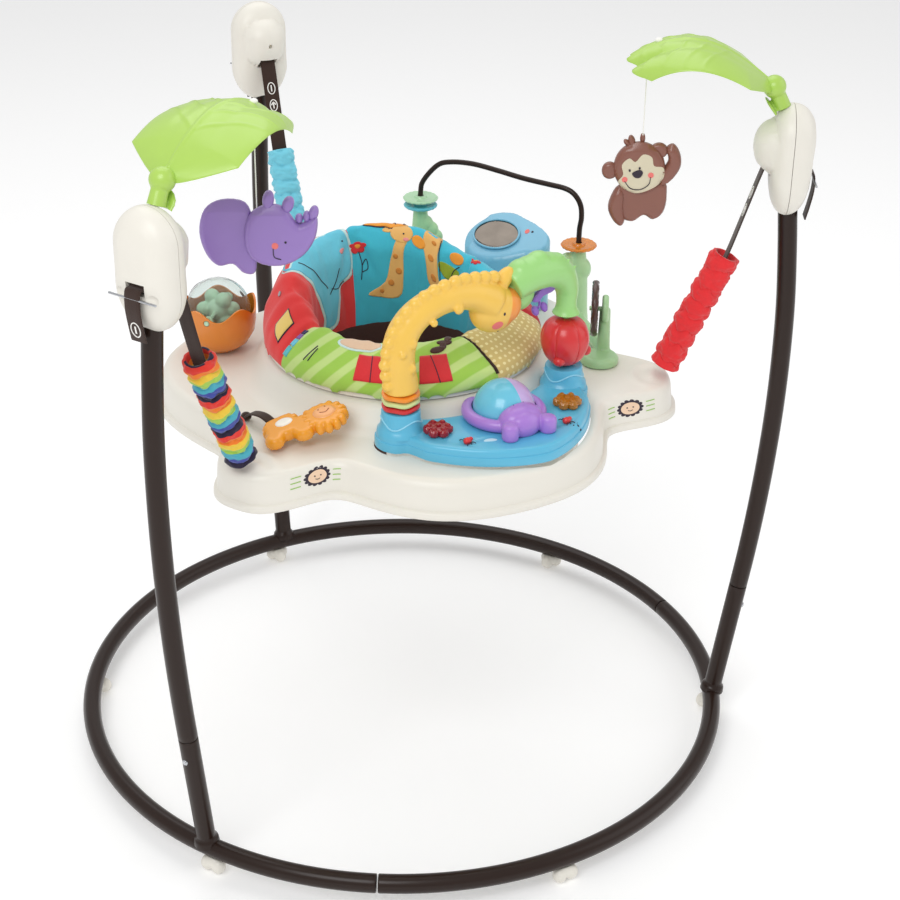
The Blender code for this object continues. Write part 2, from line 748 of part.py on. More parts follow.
def console_outline(grow=0.0):
    """The console's crescent: an outer arc, a round end about each pedestal, and an inner arc."""
    outer, inner, reach, end_radius = 0.292 + grow, 0.178 - grow, 27.0, 0.029 + grow
    points = []

    def end_arc(side, first_turn):
        for k in range(7):
            turn = math.radians(first_turn + 175 * k / 6)
            across, out = end_radius * math.sin(turn), end_radius * math.cos(turn)
            points.append((ARCH_RADIUS + out, side * PEDESTAL_ALONG + across))

    for k in range(13):
        azimuth = -reach + 2 * reach * k / 12
        radius = outer - 0.0467 * (abs(azimuth) / reach) ** 1.4
        points.append(polar(radius, azimuth))
    end_arc(1, 15)
    points += [polar(inner, 28 - 56 * k / 8) for k in range(9)]
    end_arc(-1, 170)
    return points


def console_body(centre):
    """The console's upper shell, with its pedestals, ball opening, lens openings and switch slots."""
    height = CONSOLE_TOP - DECK_TOP - 0.0022
    body = flat_piece("console_body", console_outline(), height, "sky_plastic", centre)
    body.location.z = CONSOLE_TOP - height / 2
    body = as_mesh(body)
    body.data.materials.append(material("sky_plastic"))
    hollow = flat_piece("console_hollow", console_outline(-CONSOLE_WALL), height, None, centre)
    hollow.location.z = CONSOLE_TOP - height / 2 - CONSOLE_WALL
    boolean(body, as_mesh(hollow))
    for sign, name in ((-1, "left"), (1, "right")):
        y = sign * PEDESTAL_ALONG
        ends = (ARCH_RADIUS, y, CONSOLE_TOP - 0.002), (ARCH_RADIUS, y, pedestal_top(sign))
        union(body, cylinder(f"pedestal_{name}", 0.0235, *ends, parent=centre, top_radius=0.0200))
    opening = cylinder(
        "ball_opening",
        BALL_RADIUS + 0.002,
        (BALL_CENTRE[0], BALL_CENTRE[1], CONSOLE_TOP - 0.02),
        (BALL_CENTRE[0], BALL_CENTRE[1], CONSOLE_TOP + 0.02),
        parent=centre,
        segments=24,
    )
    boolean(body, opening)
    for name, (x, y, low, high) in SWITCHES.items():
        size = (0.0044, high - low + 0.0045, 0.03)
        boolean(body, box(f"{name}_slot", size, (x, y + (low + high) / 2, CONSOLE_TOP), parent=centre))
    return body


def pedestal_top(sign):
    return 0.5265 if sign < 0 else 0.5235


def console_tub(centre):
    """The console's lower case, which hangs in the tray's well and holds the electronics."""
    top, floor, wall = DECK_TOP - 0.0004, 0.452, 0.0022
    tub = flat_piece("console_tub", console_outline(-0.013), top - floor, "cream_plastic", centre)
    tub.location.z = (top + floor) / 2
    tub = as_mesh(tub)
    tub.data.materials.append(material("cream_plastic"))
    hollow = flat_piece("tub_hollow", console_outline(-0.013 - wall), top - floor, None, centre)
    hollow.location.z = (top + floor) / 2 + wall
    boolean(tub, as_mesh(hollow))
    return boolean(tub, ball_clearance("tub_ball_clearance", centre))


def ball_clearance(name, centre):
    """A cutter that leaves running room round the roller ball."""
    return ellipsoid(name, (BALL_RADIUS + 0.0014,) * 3, BALL_CENTRE, parent=centre, segments=20, rings=12)


def sound_module(centre):
    """The circuit board with its speaker, on the tub's floor."""
    board = box("sound_module", (0.045, 0.110, 0.0016), (0.230, 0, 0.4556), "circuit_green", centre)
    speaker = cylinder("speaker", 0.0170, (0.230, -0.030, 0.4560), (0.230, -0.030, 0.4660), parent=centre)
    chip = box("chip", (0.012, 0.012, 0.004), (0.230, 0.035, 0.4578), parent=centre)
    return union(board, speaker, chip)


SWITCHES = {
    "power_slider": (0.2360, -0.070, -0.004, 0.004),
    "mode_slider": (0.2550, 0.046, 0.0, 0.008),
}


def slider(name, centre):
    """A round switch knob whose stem runs in the console's slot."""
    x, y, _, _ = SWITCHES[name]
    dome = [(0, 0.0060), (0.0028, 0.0052), (0.0046, 0.0026), (0.0048, 0.0004)]
    profile = dome + [(0.0018, 0.0004), (0.0018, -0.0050), (0, -0.0050)]
    knob = lathe(name, profile, "red_plastic", centre, steps=12)
    knob.location = (x, y, CONSOLE_TOP)
    return knob


def flower_lens(name, centre, x, y, colour):
    """A six-petalled lens over a lamp."""
    petals = [(0.0, 0.0, 0.009)]
    for k in range(6):
        a = math.radians(60 * k)
        petals.append((0.0105 * math.cos(a), 0.0105 * math.sin(a), 0.0062))
    lens = flat_piece(name, disc_outline(petals, 36), 0.0090, colour, centre)
    lens.location = (x, y, CONSOLE_TOP + 0.0049)
    return lens


def hippo_bezel(centre):
    """The bezel that holds the roller ball: a ring with a head and two feet on its outer side."""
    x, y, height = BALL_CENTRE
    discs = [(x, y, 0.0435), (x + 0.028, y - 0.002, 0.0235)]
    discs += [(x + 0.043, y - 0.028, 0.0115), (x + 0.050, y + 0.018, 0.0115)]
    thick = 0.0165
    clear_of_seat = COLLAR_RADIUS + 0.0095
    outline = []
    for px, py in disc_outline(discs, 36):
        scale = max(1.0, clear_of_seat / math.hypot(px, py))
        outline.append((px * scale, py * scale))
    bezel = flat_piece("hippo_bezel", outline, thick, "lilac_plastic", centre)
    bezel.location.z = CONSOLE_TOP + GAP + thick / 2
    bezel = as_mesh(bezel)
    bezel.data.materials.append(material("lilac_plastic"))
    boolean(bezel, ball_clearance("bezel_hole", centre))
    reach = 0.0420
    ends = (x, y - reach, height), (x, y + reach, height)
    return boolean(bezel, cylinder("bezel_bearing", 0.0034, *ends, parent=centre, segments=12))


def roller_ball(centre):
    """The two-coloured ball on its axle pins. It rolls about the console's long direction."""
    axle = bpy.data.objects.new("roller_ball_axle", None)
    PARTS.objects.link(axle)
    axle.parent = centre
    axle.location = BALL_CENTRE
    radii = (BALL_RADIUS,) * 3
    ball = ellipsoid("roller_ball", radii, (0, 0, 0), "aqua_plastic", axle, segments=18, rings=10)
    pins = cylinder("roller_pins", 0.0028, (0, -0.0405, 0), (0, 0.0405, 0), parent=axle, segments=10)
    return union(ball, pins)


def arch(centre):
    """The arch: a core post through the loose rings, the giraffe's neck and head, and the leafy half."""
    x = ARCH_RADIUS
    core = [(-PEDESTAL_ALONG, 0.5270), (-PEDESTAL_ALONG, 0.5496)]
    neck = [(-PEDESTAL_ALONG, 0.5500), (-0.1120, 0.5560), (-0.114, 0.570), (-0.115, 0.592), (-0.110, 0.614)]
    neck += [(-0.095, 0.631), (-0.074, 0.641), (-0.050, 0.646), (-0.022, 0.645)]
    neck += [(0.004, 0.640), (0.020, 0.632)]
    radii = [0.0095, 0.0095, 0.0190, 0.0195, 0.0190, 0.0180, 0.0170]
    radii += [0.0165, 0.0160, 0.0160, 0.0165, 0.0180, 0.0160]
    points = [(x, y, z) for y, z in core + neck]
    body = as_mesh(path_curve("arch", points, 1.0, None, centre, radii, resolution=2))
    body.data.materials.append(material("yellow_plastic"))
    head = ellipsoid("giraffe_head", (0.0190, 0.0310, 0.0255), (x, 0.026, 0.622), parent=centre, turn=-18)
    foot_clear = 0.0005
    below = (x, -PEDESTAL_ALONG, pedestal_top(-1) - 0.01 + foot_clear)
    floor = box("arch_floor", (0.06, 0.06, 0.02), below, parent=centre)
    return boolean(union(body, head, leafy_half(centre, x)), floor)


def leafy_half(centre, x):
    """The leafy half of the arch, from the giraffe's mane down to the fruit's pin."""
    line = [(0.0360, 0.640), (0.070, 0.650), (0.090, 0.651), (0.102, 0.645), (0.1110, 0.632), (0.1115, 0.610)]
    line += [(PEDESTAL_ALONG, z) for z in (0.5880, 0.5870, 0.5245)]
    radii = [0.0165, 0.0175, 0.0175, 0.0170, 0.0150, 0.0115, 0.0130, 0.0036, 0.0036]
    points = [(x, y, z) for y, z in line]
    return as_mesh(path_curve("arch_leaf", points, 1.0, None, centre, radii, resolution=2))


def neck_ring(name, height, colour, centre):
    """A loose ring on the arch's core post."""
    top, middle = height + 0.0050, height + 0.0025
    profile = [(0.0205, top), (0.0215, middle), (0.0205, height), (0.0105, height), (0.0105, top)]
    ring = lathe(name, profile, colour, centre, steps=14, closed=True)
    ring.location = (ARCH_RADIUS, -PEDESTAL_ALONG, 0)
    return ring


def fruit_spinner(centre):
    """The ribbed ball that turns on the arch's pin."""
    spindle = bpy.data.objects.new("fruit_spindle", None)
    PARTS.objects.link(spindle)
    spindle.parent = centre
    spindle.location = (ARCH_RADIUS, PEDESTAL_ALONG, FRUIT_HEIGHT)
    profile = [(0.0042, 0.0270), (0.0150, 0.0250), (0.0240, 0.0165), (0.0285, 0.0020), (0.0265, -0.0130)]
    profile += [(0.0190, -0.0250), (0.0110, -0.0295), (0.0042, -0.0295)]
    fruit = lathe("fruit_spinner", profile, "red_plastic", spindle, steps=16, closed=True)
    lump_radii = (0.0100, 0.0100, 0.0115)
    lump = ellipsoid("fruit_lump", lump_radii, (0.0, 0.0230, -0.0080), parent=spindle, segments=10, rings=7)
    return union(fruit, lump)


def charm(centre):
    """The bow-shaped charm that swings under the leafy half of the arch."""
    hinge = bpy.data.objects.new("charm_hinge", None)
    PARTS.objects.link(hinge)
    hinge.parent = centre
    hinge.location = (ARCH_RADIUS, *CHARM_PIVOT)
    discs = [(0.0, -0.012, 0.006), (-0.008, -0.007, 0.0070), (0.008, -0.007, 0.0070)]
    discs += [(-0.007, -0.024, 0.006), (0.007, -0.025, 0.006)]
    wings = flat_piece("bow_charm", disc_outline(discs, 30), 0.0060, "lilac_plastic", hinge)
    wings.rotation_euler = (math.pi / 2, 0, math.pi / 2)
    return wings


# ---------------------------------------------------------------- other toy stations


def rattle(centre):
    """The clear rattle ball on its pins, in a petal-edged cup."""
    x, _, height = RATTLE_CENTRE
    segments = 20
    heights = [(0.010, 0.4846), (0.024, 0.4856), (0.035, 0.4940), (0.0430, 0.5080), (0.0452, 0.5220)]
    rings = [[rim_point(radius, z, k, segments) for k in range(segments)] for radius, z in heights]
    petals = 5
    rim = [0.5400 + 0.004 * math.cos(2 * math.pi * petals * k / segments) for k in range(segments)]
    rings.append([rim_point(0.0456, rim[k], k, segments) for k in range(segments)])
    rings.insert(0, [(0.0, 0.0, 0.4846)] * segments)
    cup = loft("rattle_cup", rings, "orange_plastic", centre)
    cup.location.x = x
    bm = bmesh.new()
    bm.from_mesh(cup.data)
    bmesh.ops.remove_doubles(bm, verts=bm.verts, dist=1e-6)
    bmesh.ops.recalc_face_normals(bm, faces=bm.faces)
    bm.faces.ensure_lookup_table()
    if sum(f.normal.z * f.calc_area() for f in bm.faces) > 0:
        bmesh.ops.reverse_faces(bm, faces=bm.faces)
    bm.to_mesh(cup.data)
    bm.free()
    solidify(cup, 0.0024)
    holes = cylinder("cup_bearing", 0.0036, (x, -0.06, height), (x, 0.06, height), parent=centre, segments=12)
    boolean(cup, holes)

    axle = bpy.data.objects.new("rattle_axle", None)
    PARTS.objects.link(axle)
    axle.parent = centre
    axle.location = RATTLE_CENTRE
    shell = hollow_ball_profile(RATTLE_RADIUS, 0.0020, 0.0050)
    ball = lathe("rattle_ball", shell, "clear_plastic", axle, steps=16, closed=True)
    ball.rotation_euler.x = math.pi / 2
    for sign, name in ((-1, "left"), (1, "right")):
        pin_ends = (0, sign * (RATTLE_RADIUS - 0.0035), 0), (0, sign * 0.0455, 0)
        pin = cylinder(f"rattle_pin_{name}", 0.0029, *pin_ends, parent=axle, segments=10)
        collar_ends = (0, sign * (RATTLE_RADIUS - 0.0025), 0), (0, sign * (RATTLE_RADIUS + 0.0010), 0)
        collar = cylinder(f"rattle_collar_{name}", 0.0065, *collar_ends, parent=axle, segments=10)
        union(ball, pin, collar)
    vent = cylinder("rattle_vent", 0.0020, (0, 0, 0), (0, 0, RATTLE_RADIUS + 0.01), parent=axle, segments=8)
    boolean(ball, vent)
    return cup, ball


def rim_point(radius, height, k, segments):
    a = 2 * math.pi * k / segments
    return (radius * math.cos(a), radius * math.sin(a), height)


def hollow_ball_profile(radius, wall, hole):
    """A ball shell's section with a hole at each pole, running down its outer side and up its inner side."""
    steps = 7
    outer_start = math.asin(hole / radius)
    inner_start = math.asin(hole / (radius - wall))
    profile = []
    for k in range(steps + 1):
        a = outer_start + (math.pi - 2 * outer_start) * k / steps
        profile.append((radius * math.sin(a), radius * math.cos(a)))
    for k in range(steps + 1):
        a = math.pi - inner_start - (math.pi - 2 * inner_start) * k / steps
        profile.append(((radius - wall) * math.sin(a), (radius - wall) * math.cos(a)))
    return profile


def mirror(centre):
    """The elephant-shaped mirror stand, a prism cut by a plane that leans to the seat, and its mirror."""
    discs = [(0.240, 0.014, 0.040), (0.244, -0.024, 0.027), (0.240, -0.045, 0.016)]
    height, base = 0.125, DECK_TOP + GAP
    stand = flat_piece("mirror_stand", disc_outline(discs, 40), height, "sky_plastic", centre)
    stand.location.z = base + height / 2
    stand = as_mesh(stand)
    stand.data.materials.append(material("sky_plastic"))
    face_point = Vector((0.240, 0.0, MIRROR_HEIGHT))
    slant = Matrix.Rotation(-math.radians(MIRROR_LEAN), 4, "Y")
    cut = box("mirror_slant", (0.3, 0.3, 0.1), (0, 0, 0.05), parent=centre)
    cut.matrix_basis = Matrix.Translation(face_point) @ slant
    boolean(stand, cut)
    inset = [(x, y, r - 0.003) for x, y, r in discs]
    inner = flat_piece("mirror_hollow", disc_outline(inset, 40), 0.08, None, centre)
    inner.location.z = 0.540 - 0.04
    boolean(stand, as_mesh(inner))
    glass = ellipsoid_disc("mirror_glass", 0.0235, 0.0300, 0.0022, "mirror", centre)
    glass.matrix_basis = Matrix.Translation(face_point + slant @ Vector((0, 0.013, 0.0))) @ slant
    glass.matrix_basis = glass.matrix_basis @ Matrix.Translation((0, 0, 0.0011 + GAP))
    return stand, glass


def ellipsoid_disc(name, x_radius, y_radius, thickness, colour, parent):
    """A flat oval plate."""
    steps = 28
    angles = [2 * math.pi * k / steps for k in range(steps)]
    outline = [(x_radius * math.cos(a), y_radius * math.sin(a)) for a in angles]
    return flat_piece(name, outline, thickness, colour, parent)


def rail_line():
    """(share of the way from start to end, height) points of the bead rail."""
    rise = [(0.0, POD_TOPS[0] - 0.015), (0.0, 0.6140), (0.02, 0.6310), (0.05, 0.6430)]
    rise += [(0.11, 0.6540), (0.20, 0.6615)]
    fall = [(0.34, 0.6640), (0.50, 0.6610), (0.66, 0.6570), (0.82, 0.6550), (0.92, 0.6535), (0.98, 0.6480)]
    end = [(1.020, 0.636), (1.030, 0.620), (RAIL_FOOT_SHARE, 0.602), (RAIL_FOOT_SHARE, POD_TOPS[1] - 0.015)]
    return rise + fall + end


def bead_rail():
    """The bent wire that the discs turn and slide on."""
    points = [RAIL_START.lerp(RAIL_END, share) + Vector((0, 0, z)) for share, z in rail_line()]
    return path_curve("bead_rail", points, RAIL_WIRE_RADIUS, "brown_paint", resolution=1)


def rail_pod(name, foot_point, height, blob):
    """The leafy foot of the bead rail."""
    x, y = foot_point
    wire = RAIL_WIRE_RADIUS + 0.0005
    foot_end, top = (x, y, DECK_TOP + GAP), (x, y, height)
    body = cylinder(name, 0.016, foot_end, top, "mint_plastic", top_radius=0.0095, segments=12)
    for k, (dx, dy, dz, radius) in enumerate(blob):
        place = (x + dx, y + dy, DECK_TOP + dz)
        union(body, ellipsoid(f"{name}_leaf_{k}", (radius,) * 3, place, segments=8, rings=6))
    socket = cylinder(f"{name}_socket", wire, (x, y, height - 0.018), (x, y, height + 0.01), segments=10)
    return boolean(body, socket)


def disc_profile(radius, height, hub=0.0040):
    """The section of a bored disc with a thin rim, running down its outer side."""
    return [
        (DISC_BORE, height + hub),
        (0.0080, height + hub),
        (radius, height + 0.0016),
        (radius, height - 0.0012),
        (0.0080, height - 0.0024),
        (DISC_BORE, height - 0.0024),
    ]


def discs(name, place, height, colour, pair):
    """One disc, or two on one hub, on an upright stretch of the rail."""
    disc = lathe(name, disc_profile(DISC_RADIUS, 0.0), colour, steps=14, closed=True)
    disc.location = (*place, height)
    if pair:
        lower = disc_profile(DISC_RADIUS * 0.96, -0.0095, hub=0.0085)
        second = lathe(f"{name}_lower", lower, None, steps=14, closed=True)
        second.location = (*place, height)
        union(disc, second)
    return disc


def plaque():
    """The brown disc that turns on the bracket's pin."""
    half = PLAQUE_AXIS * 0.0040
    ends = PLAQUE_CENTRE - half, PLAQUE_CENTRE + half
    disc = cylinder("spinner_plaque", PLAQUE_RADIUS, *ends, "brown_plastic", segments=24)
    bore = cylinder("plaque_bore", 0.0034, PLAQUE_CENTRE - 3 * half, PLAQUE_CENTRE + 3 * half, segments=12)
    return boolean(disc, bore)


def plaque_bracket():
    """The bracket with the pin that the plaque turns on, its foot, and the ridge that joins it to the pod."""
    post_top = PLAQUE_CENTRE + PLAQUE_AXIS * 0.0125
    post_foot = Vector((post_top.x, post_top.y, DECK_TOP + GAP))
    ridge_height = DECK_TOP + 0.0085
    ridge_start = Vector((post_top.x, post_top.y, ridge_height))
    foot_centre = Vector((0.217, -0.092, DECK_TOP + GAP))
    return (
        cylinder("pod_ridge", 0.0078, ridge_start, (*rail_foot(), ridge_height), segments=12),
        cylinder("plaque_stalk", 0.0078, post_foot, post_top, segments=10, top_radius=0.0065),
        cylinder("plaque_foot", 0.0230, foot_centre, foot_centre + Vector((0, 0, 0.011)), segments=18),
        cylinder("bracket_plate", 0.0170, post_top - PLAQUE_AXIS * 0.004, post_top + PLAQUE_AXIS * 0.004),
        cylinder("plaque_pin", 0.0028, PLAQUE_CENTRE - PLAQUE_AXIS * 0.0065, post_top, segments=10),
    )


def rail_foot():
    """Where the rail's right-hand end stands, as (x, y)."""
    return RAIL_START.lerp(RAIL_END, RAIL_FOOT_SHARE).xy


def lion():
    """The soft lion on its tether, lying on the left lobe. Its hinge is the tether's anchor."""
    hinge = bpy.data.objects.new("lion_hinge", None)
    PARTS.objects.link(hinge)
    hinge.location = (-0.222, -0.052, DECK_TOP)
    head, body = Vector((0.0635, -0.0740)), Vector((0.0200, -0.0660))
    outline = [(*body, 0.0235), (body.x - 0.012, body.y - 0.012, 0.0130)]
    outline += [(body.x + 0.013, body.y - 0.016, 0.0110), (*head, 0.0190)]
    for k in range(10):
        a = math.radians(36 * k)
        outline.append((head.x + 0.0190 * math.cos(a), head.y + 0.0190 * math.sin(a), 0.0055))
    toy = flat_piece("lion_toy", disc_outline(outline, 48), 0.0160, "amber_lens", hinge)
    toy.location.z = 0.0160 / 2 + 0.0030
    toy.rotation_euler.y = math.radians(-13)
    toy = as_mesh(toy)
    toy.data.materials.append(material("amber_lens"))
    band = [(0, 0, 0.0050), (0.006, -0.010, 0.0140), (0.014, -0.030, 0.0180), (0.020, -0.052, 0.0140)]
    tether = as_mesh(path_curve("lion_tether", band, 0.0032, parent=hinge, resolution=1))
    return union(toy, tether)


# ---------------------------------------------------------------- assembly


def build_frame():
    for place, azimuth in POSTS.items():
        base_tube(place, azimuth)
        post(place, azimuth)
        housing_half(f"housing_outer_{place}", azimuth, 1)
        housing_half(f"housing_inner_{place}", azimuth, -1)
        strap(place, azimuth)
        spring(place, azimuth)
    for number in range(6):
        foot(f"foot_{number + 1}", FOOT_AZIMUTH + 60 * number)
    sleeve("rear", POSTS["rear"], "aqua_cloth")
    sleeve("left", POSTS["left"], "rainbow_cloth")
    sleeve("right", POSTS["right"], "red_cloth")
    leaf("left", POSTS["left"])
    leaf("right", POSTS["right"])


def build_hanging_toys():
    elephant = [(0.0, -0.044, 0.030), (0.040, -0.038, 0.022), (-0.034, -0.036, 0.033)]
    elephant += [(-0.020, -0.062, 0.024), (0.0, -0.010, 0.009), (0.026, -0.012, 0.007)]
    elephant.append((0.054, -0.022, 0.008))
    pendant("elephant_toy", POSTS["left"], "lilac_plastic", elephant, 0.778, turn=124)
    monkey = [(0.0, -0.040, 0.030), (0.0, -0.028, 0.030), (-0.034, -0.030, 0.009), (0.030, -0.026, 0.014)]
    monkey += [(0.002, -0.074, 0.027), (-0.021, -0.082, 0.013), (0.001, 0.003, 0.006)]
    pendant("monkey_toy", POSTS["right"], "brown_plastic", monkey, 0.775)


def build_console():
    centre = station("console_station", CONSOLE_AZIMUTH)
    console_body(centre)
    console_tub(centre)
    sound_module(centre)
    hippo_bezel(centre)
    roller_ball(centre)
    flower_lens("flower_red", centre, 0.1990, -0.0820, "red_lens")
    flower_lens("flower_amber", centre, 0.2190, 0.0780, "amber_lens")
    for name in SWITCHES:
        slider(name, centre)
    arch(centre)
    neck_ring("ring_red", 0.5280, "red_plastic", centre)
    neck_ring("ring_cream", 0.5350, "cream_ring", centre)
    neck_ring("ring_orange", 0.5420, "orange_plastic", centre)
    fruit_spinner(centre)
    charm(centre)


def build_other_toys():
    rattle(station("rattle_station", RATTLE_AZIMUTH))
    mirror(station("mirror_station", MIRROR_AZIMUTH))
    bead_rail()
    left_leaves = [(0.014, -0.006, 0.016, 0.0145), (0.008, -0.006, 0.070, 0.013)]
    rail_pod("rail_pod_left", RAIL_START.xy, POD_TOPS[0], left_leaves)
    pod = rail_pod("rail_pod_right", rail_foot(), POD_TOPS[1], [(-0.010, 0.006, 0.066, 0.014)])
    union(pod, *plaque_bracket())
    plaque()
    discs("disc_pair", RAIL_START.xy, POD_TOPS[0] + 0.0140, "mint_plastic", True)
    discs("disc_orange", rail_foot(), POD_TOPS[1] + 0.0045, "orange_plastic", False)
    lion()


def centre_on_origin():
    """Hangs the parts and their cutters from one empty at the ring's centre, and moves it to its place."""
    ring_centre = bpy.data.objects.new("ring_centre", None)
    loose = [obj for holder in (PARTS, CUTTERS) for obj in holder.objects if obj.parent is None]
    PARTS.objects.link(ring_centre)
    for obj in loose:
        obj.parent = ring_centre
    ring_centre.location.y = -REAR_OVERHANG


build_frame()
build_hanging_toys()
deck()
seat_ring()
seat_pad()
build_console()
build_other_toys()
centre_on_origin()
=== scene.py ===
"""Looks for the activity jumper: plastic, painted tube, printed cloth and webbing round its CAD frame.

Lengths are metres in the row frame; mm() takes rows of millimetres. Most parts stand on a station: a place
round the floor ring's centre, given as an azimuth in degrees, whose +X points outwards and whose +Y runs
anticlockwise.
"""

from math import atan2, cos, degrees, exp, hypot, pi, radians, sin, sqrt, tan

import bmesh
import bpy
import numpy as np
from mathutils import Euler, Matrix, Vector, noise
from mathutils.bvhtree import BVHTree
from mathutils.geometry import delaunay_2d_cdt


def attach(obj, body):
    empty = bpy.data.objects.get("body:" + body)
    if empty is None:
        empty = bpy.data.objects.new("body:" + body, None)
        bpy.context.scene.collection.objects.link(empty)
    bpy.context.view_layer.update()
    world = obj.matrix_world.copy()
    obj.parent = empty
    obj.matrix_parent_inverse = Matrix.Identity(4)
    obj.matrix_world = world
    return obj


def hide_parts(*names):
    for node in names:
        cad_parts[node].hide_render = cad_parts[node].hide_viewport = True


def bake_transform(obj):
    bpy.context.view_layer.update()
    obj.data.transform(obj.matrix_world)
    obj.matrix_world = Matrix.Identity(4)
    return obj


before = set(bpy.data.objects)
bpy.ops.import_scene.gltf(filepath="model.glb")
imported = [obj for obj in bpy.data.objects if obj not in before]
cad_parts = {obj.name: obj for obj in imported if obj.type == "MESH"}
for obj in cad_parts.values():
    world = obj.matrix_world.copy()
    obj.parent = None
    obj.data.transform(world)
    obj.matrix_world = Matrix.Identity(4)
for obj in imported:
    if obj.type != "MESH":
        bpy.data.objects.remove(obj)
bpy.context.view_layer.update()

shift = Matrix.Translation
ROUND = [(sin(a), cos(a)) for a in (0.0, 0.4, 0.8, 1.2, 1.5)]
# Drawing axes for a plane that faces along a station's +X.
OUTWARD = Matrix(((0, 0, 1, 0), (1, 0, 0, 0), (0, 1, 0, 0), (0, 0, 0, 1)))
CENTRE = Vector((0.0, -0.024, 0.0))
POSTS = {"rear": 90, "left": 210, "right": 330}
CONSOLE = 277
RING_RADIUS = 0.4
RING_HEIGHT = 0.03
TUBE_RADIUS = 0.0111
STUB_TOP = (0.422, 0.195)
SEAM_RADIUS = 0.433
DECK_TOP = 0.482
CONSOLE_TOP = 0.503
PEDESTAL = 0.1115
ARCH_RADIUS = 0.167
STRAP_END = (0.372, 0.637)
HOOK_RADIUS = 0.3095
HOOK_HEIGHT = 0.496
CORD_TOP = 0.871
SPRING_RUN = (0.0625, 0.141)
SPRING_TILT = Matrix.Rotation(atan2(*SPRING_RUN), 4, "Y")


# ---------------------------------------------------------------- places and curves


def mm(rows):
    """Rows of millimetres, as metres."""
    return [tuple(value / 1000 for value in row) for row in rows]


def turned(axis, angle):
    return Matrix.Rotation(radians(angle), 4, axis)


def at(azimuth, x=0.0, y=0.0, z=0.0):
    """The matrix of a station, moved by x, y and z in its own axes."""
    return shift(CENTRE) @ turned("Z", azimuth) @ shift((x, y, z))


def smooth(points, steps, loop=False):
    """Points on a Catmull-Rom curve through the given ones, which may have any number of coordinates."""
    p = [np.array(q, float) for q in points]
    ends = (p[-1:], p[:2]) if loop else ([2 * p[0] - p[1]], [2 * p[-1] - p[-2]])
    p = ends[0] + p + ends[1]
    out = []
    for a, b, c, d in zip(p, p[1:], p[2:], p[3:]):
        for k in range(steps):
            t = k / steps
            rest = (2 * a - 5 * b + 4 * c - d) * t * t + (3 * b - a - 3 * c + d) * t**3
            out.append(0.5 * (2 * b + (c - a) * t + rest))
    return [tuple(q) for q in (out if loop else out + [p[-2]])]


def ellipse(x, y, rx, ry, count=32, turn=0.0):
    """An oval's outline."""
    c, s = cos(radians(turn)), sin(radians(turn))
    out = []
    for k in range(count):
        a = 2 * pi * k / count
        u, v = rx * cos(a), ry * sin(a)
        out.append((x + u * c - v * s, y + u * s + v * c))
    return out


def lobes(discs, steps=64):
    """The outline of a union of discs (x, y, radius), seen from the first disc's centre."""
    x0, y0, _ = discs[0]
    out = []
    for k in range(steps):
        a = 2 * pi * k / steps
        ux, uy = cos(a), sin(a)
        reach = 0.0
        for x, y, radius in discs:
            along = (x - x0) * ux + (y - y0) * uy
            across = (x - x0) * uy - (y - y0) * ux
            if abs(across) < radius:
                reach = max(reach, along + sqrt(radius * radius - across * across))
        out.append((x0 + reach * ux, y0 + reach * uy))
    return out


def stroke(points, width, steps=5):
    """The outline of a line of that width through the points."""
    line = [Vector(q) for q in smooth(points, steps)]
    left, right = [], []
    for i, q in enumerate(line):
        run = (line[min(i + 1, len(line) - 1)] - line[max(i - 1, 0)]).normalized()
        side = Vector((-run.y, run.x)) * width / 2
        left.append(tuple(q + side))
        right.append(tuple(q - side))
    return left + right[::-1]


# ---------------------------------------------------------------- mesh builders


def placed(bm):
    """A new object in the scene that takes over the bmesh."""
    mesh = bpy.data.meshes.new("mesh")
    bm.to_mesh(mesh)
    bm.free()
    obj = bpy.data.objects.new("mesh", mesh)
    bpy.context.scene.collection.objects.link(obj)
    return obj


def add(verts, faces):
    draft = bpy.data.meshes.new("draft")
    draft.from_pydata([tuple(v) for v in verts], [], faces)
    bm = bmesh.new()
    bm.from_mesh(draft)
    bpy.data.meshes.remove(draft)
    bmesh.ops.recalc_face_normals(bm, faces=bm.faces)
    return placed(bm)


def skin(rings, loop=False):
    """A closed mesh through rings of equally many points. With loop the last ring joins the first."""
    n = len(rings[0])
    faces = []
    for r in range(len(rings) - (0 if loop else 1)):
        s = (r + 1) % len(rings)
        faces += [(r * n + i, r * n + (i + 1) % n, s * n + (i + 1) % n, s * n + i) for i in range(n)]
    if not loop:
        faces.append(tuple(range(n)))
        faces.append(tuple(range((len(rings) - 1) * n, len(rings) * n)))
    return add([p for ring in rings for p in ring], faces)


def tube(points, sides=16, steps=4, bevel=0.0):
    """A round bar through points (x, y, z, radius), with its ends rounded over by bevel."""
    rows = [np.array(q) for q in smooth(points, steps)]
    if bevel:
        for end, near in ((0, 1), (-1, -2)):
            out = rows[end][:3] - rows[near][:3]
            out = out / np.linalg.norm(out)
            last = rows[end].copy()
            cap = [np.append(last[:3] - out * bevel * (1 - s), last[3] - bevel * (1 - c)) for s, c in ROUND]
            rows = cap[::-1] + rows[1:] if end == 0 else rows[:-1] + cap
    line = [Vector(r[:3]) for r in rows]
    side = None
    rings = []
    for i, q in enumerate(line):
        run = (line[min(i + 1, len(line) - 1)] - line[max(i - 1, 0)]).normalized()
        side = run.orthogonal() if side is None else side - run * side.dot(run)
        side.normalize()
        up = run.cross(side)
        turns = [2 * pi * k / sides for k in range(sides)]
        rings.append([q + (side * cos(a) + up * sin(a)) * rows[i][3] for a in turns])
    return skin(rings)


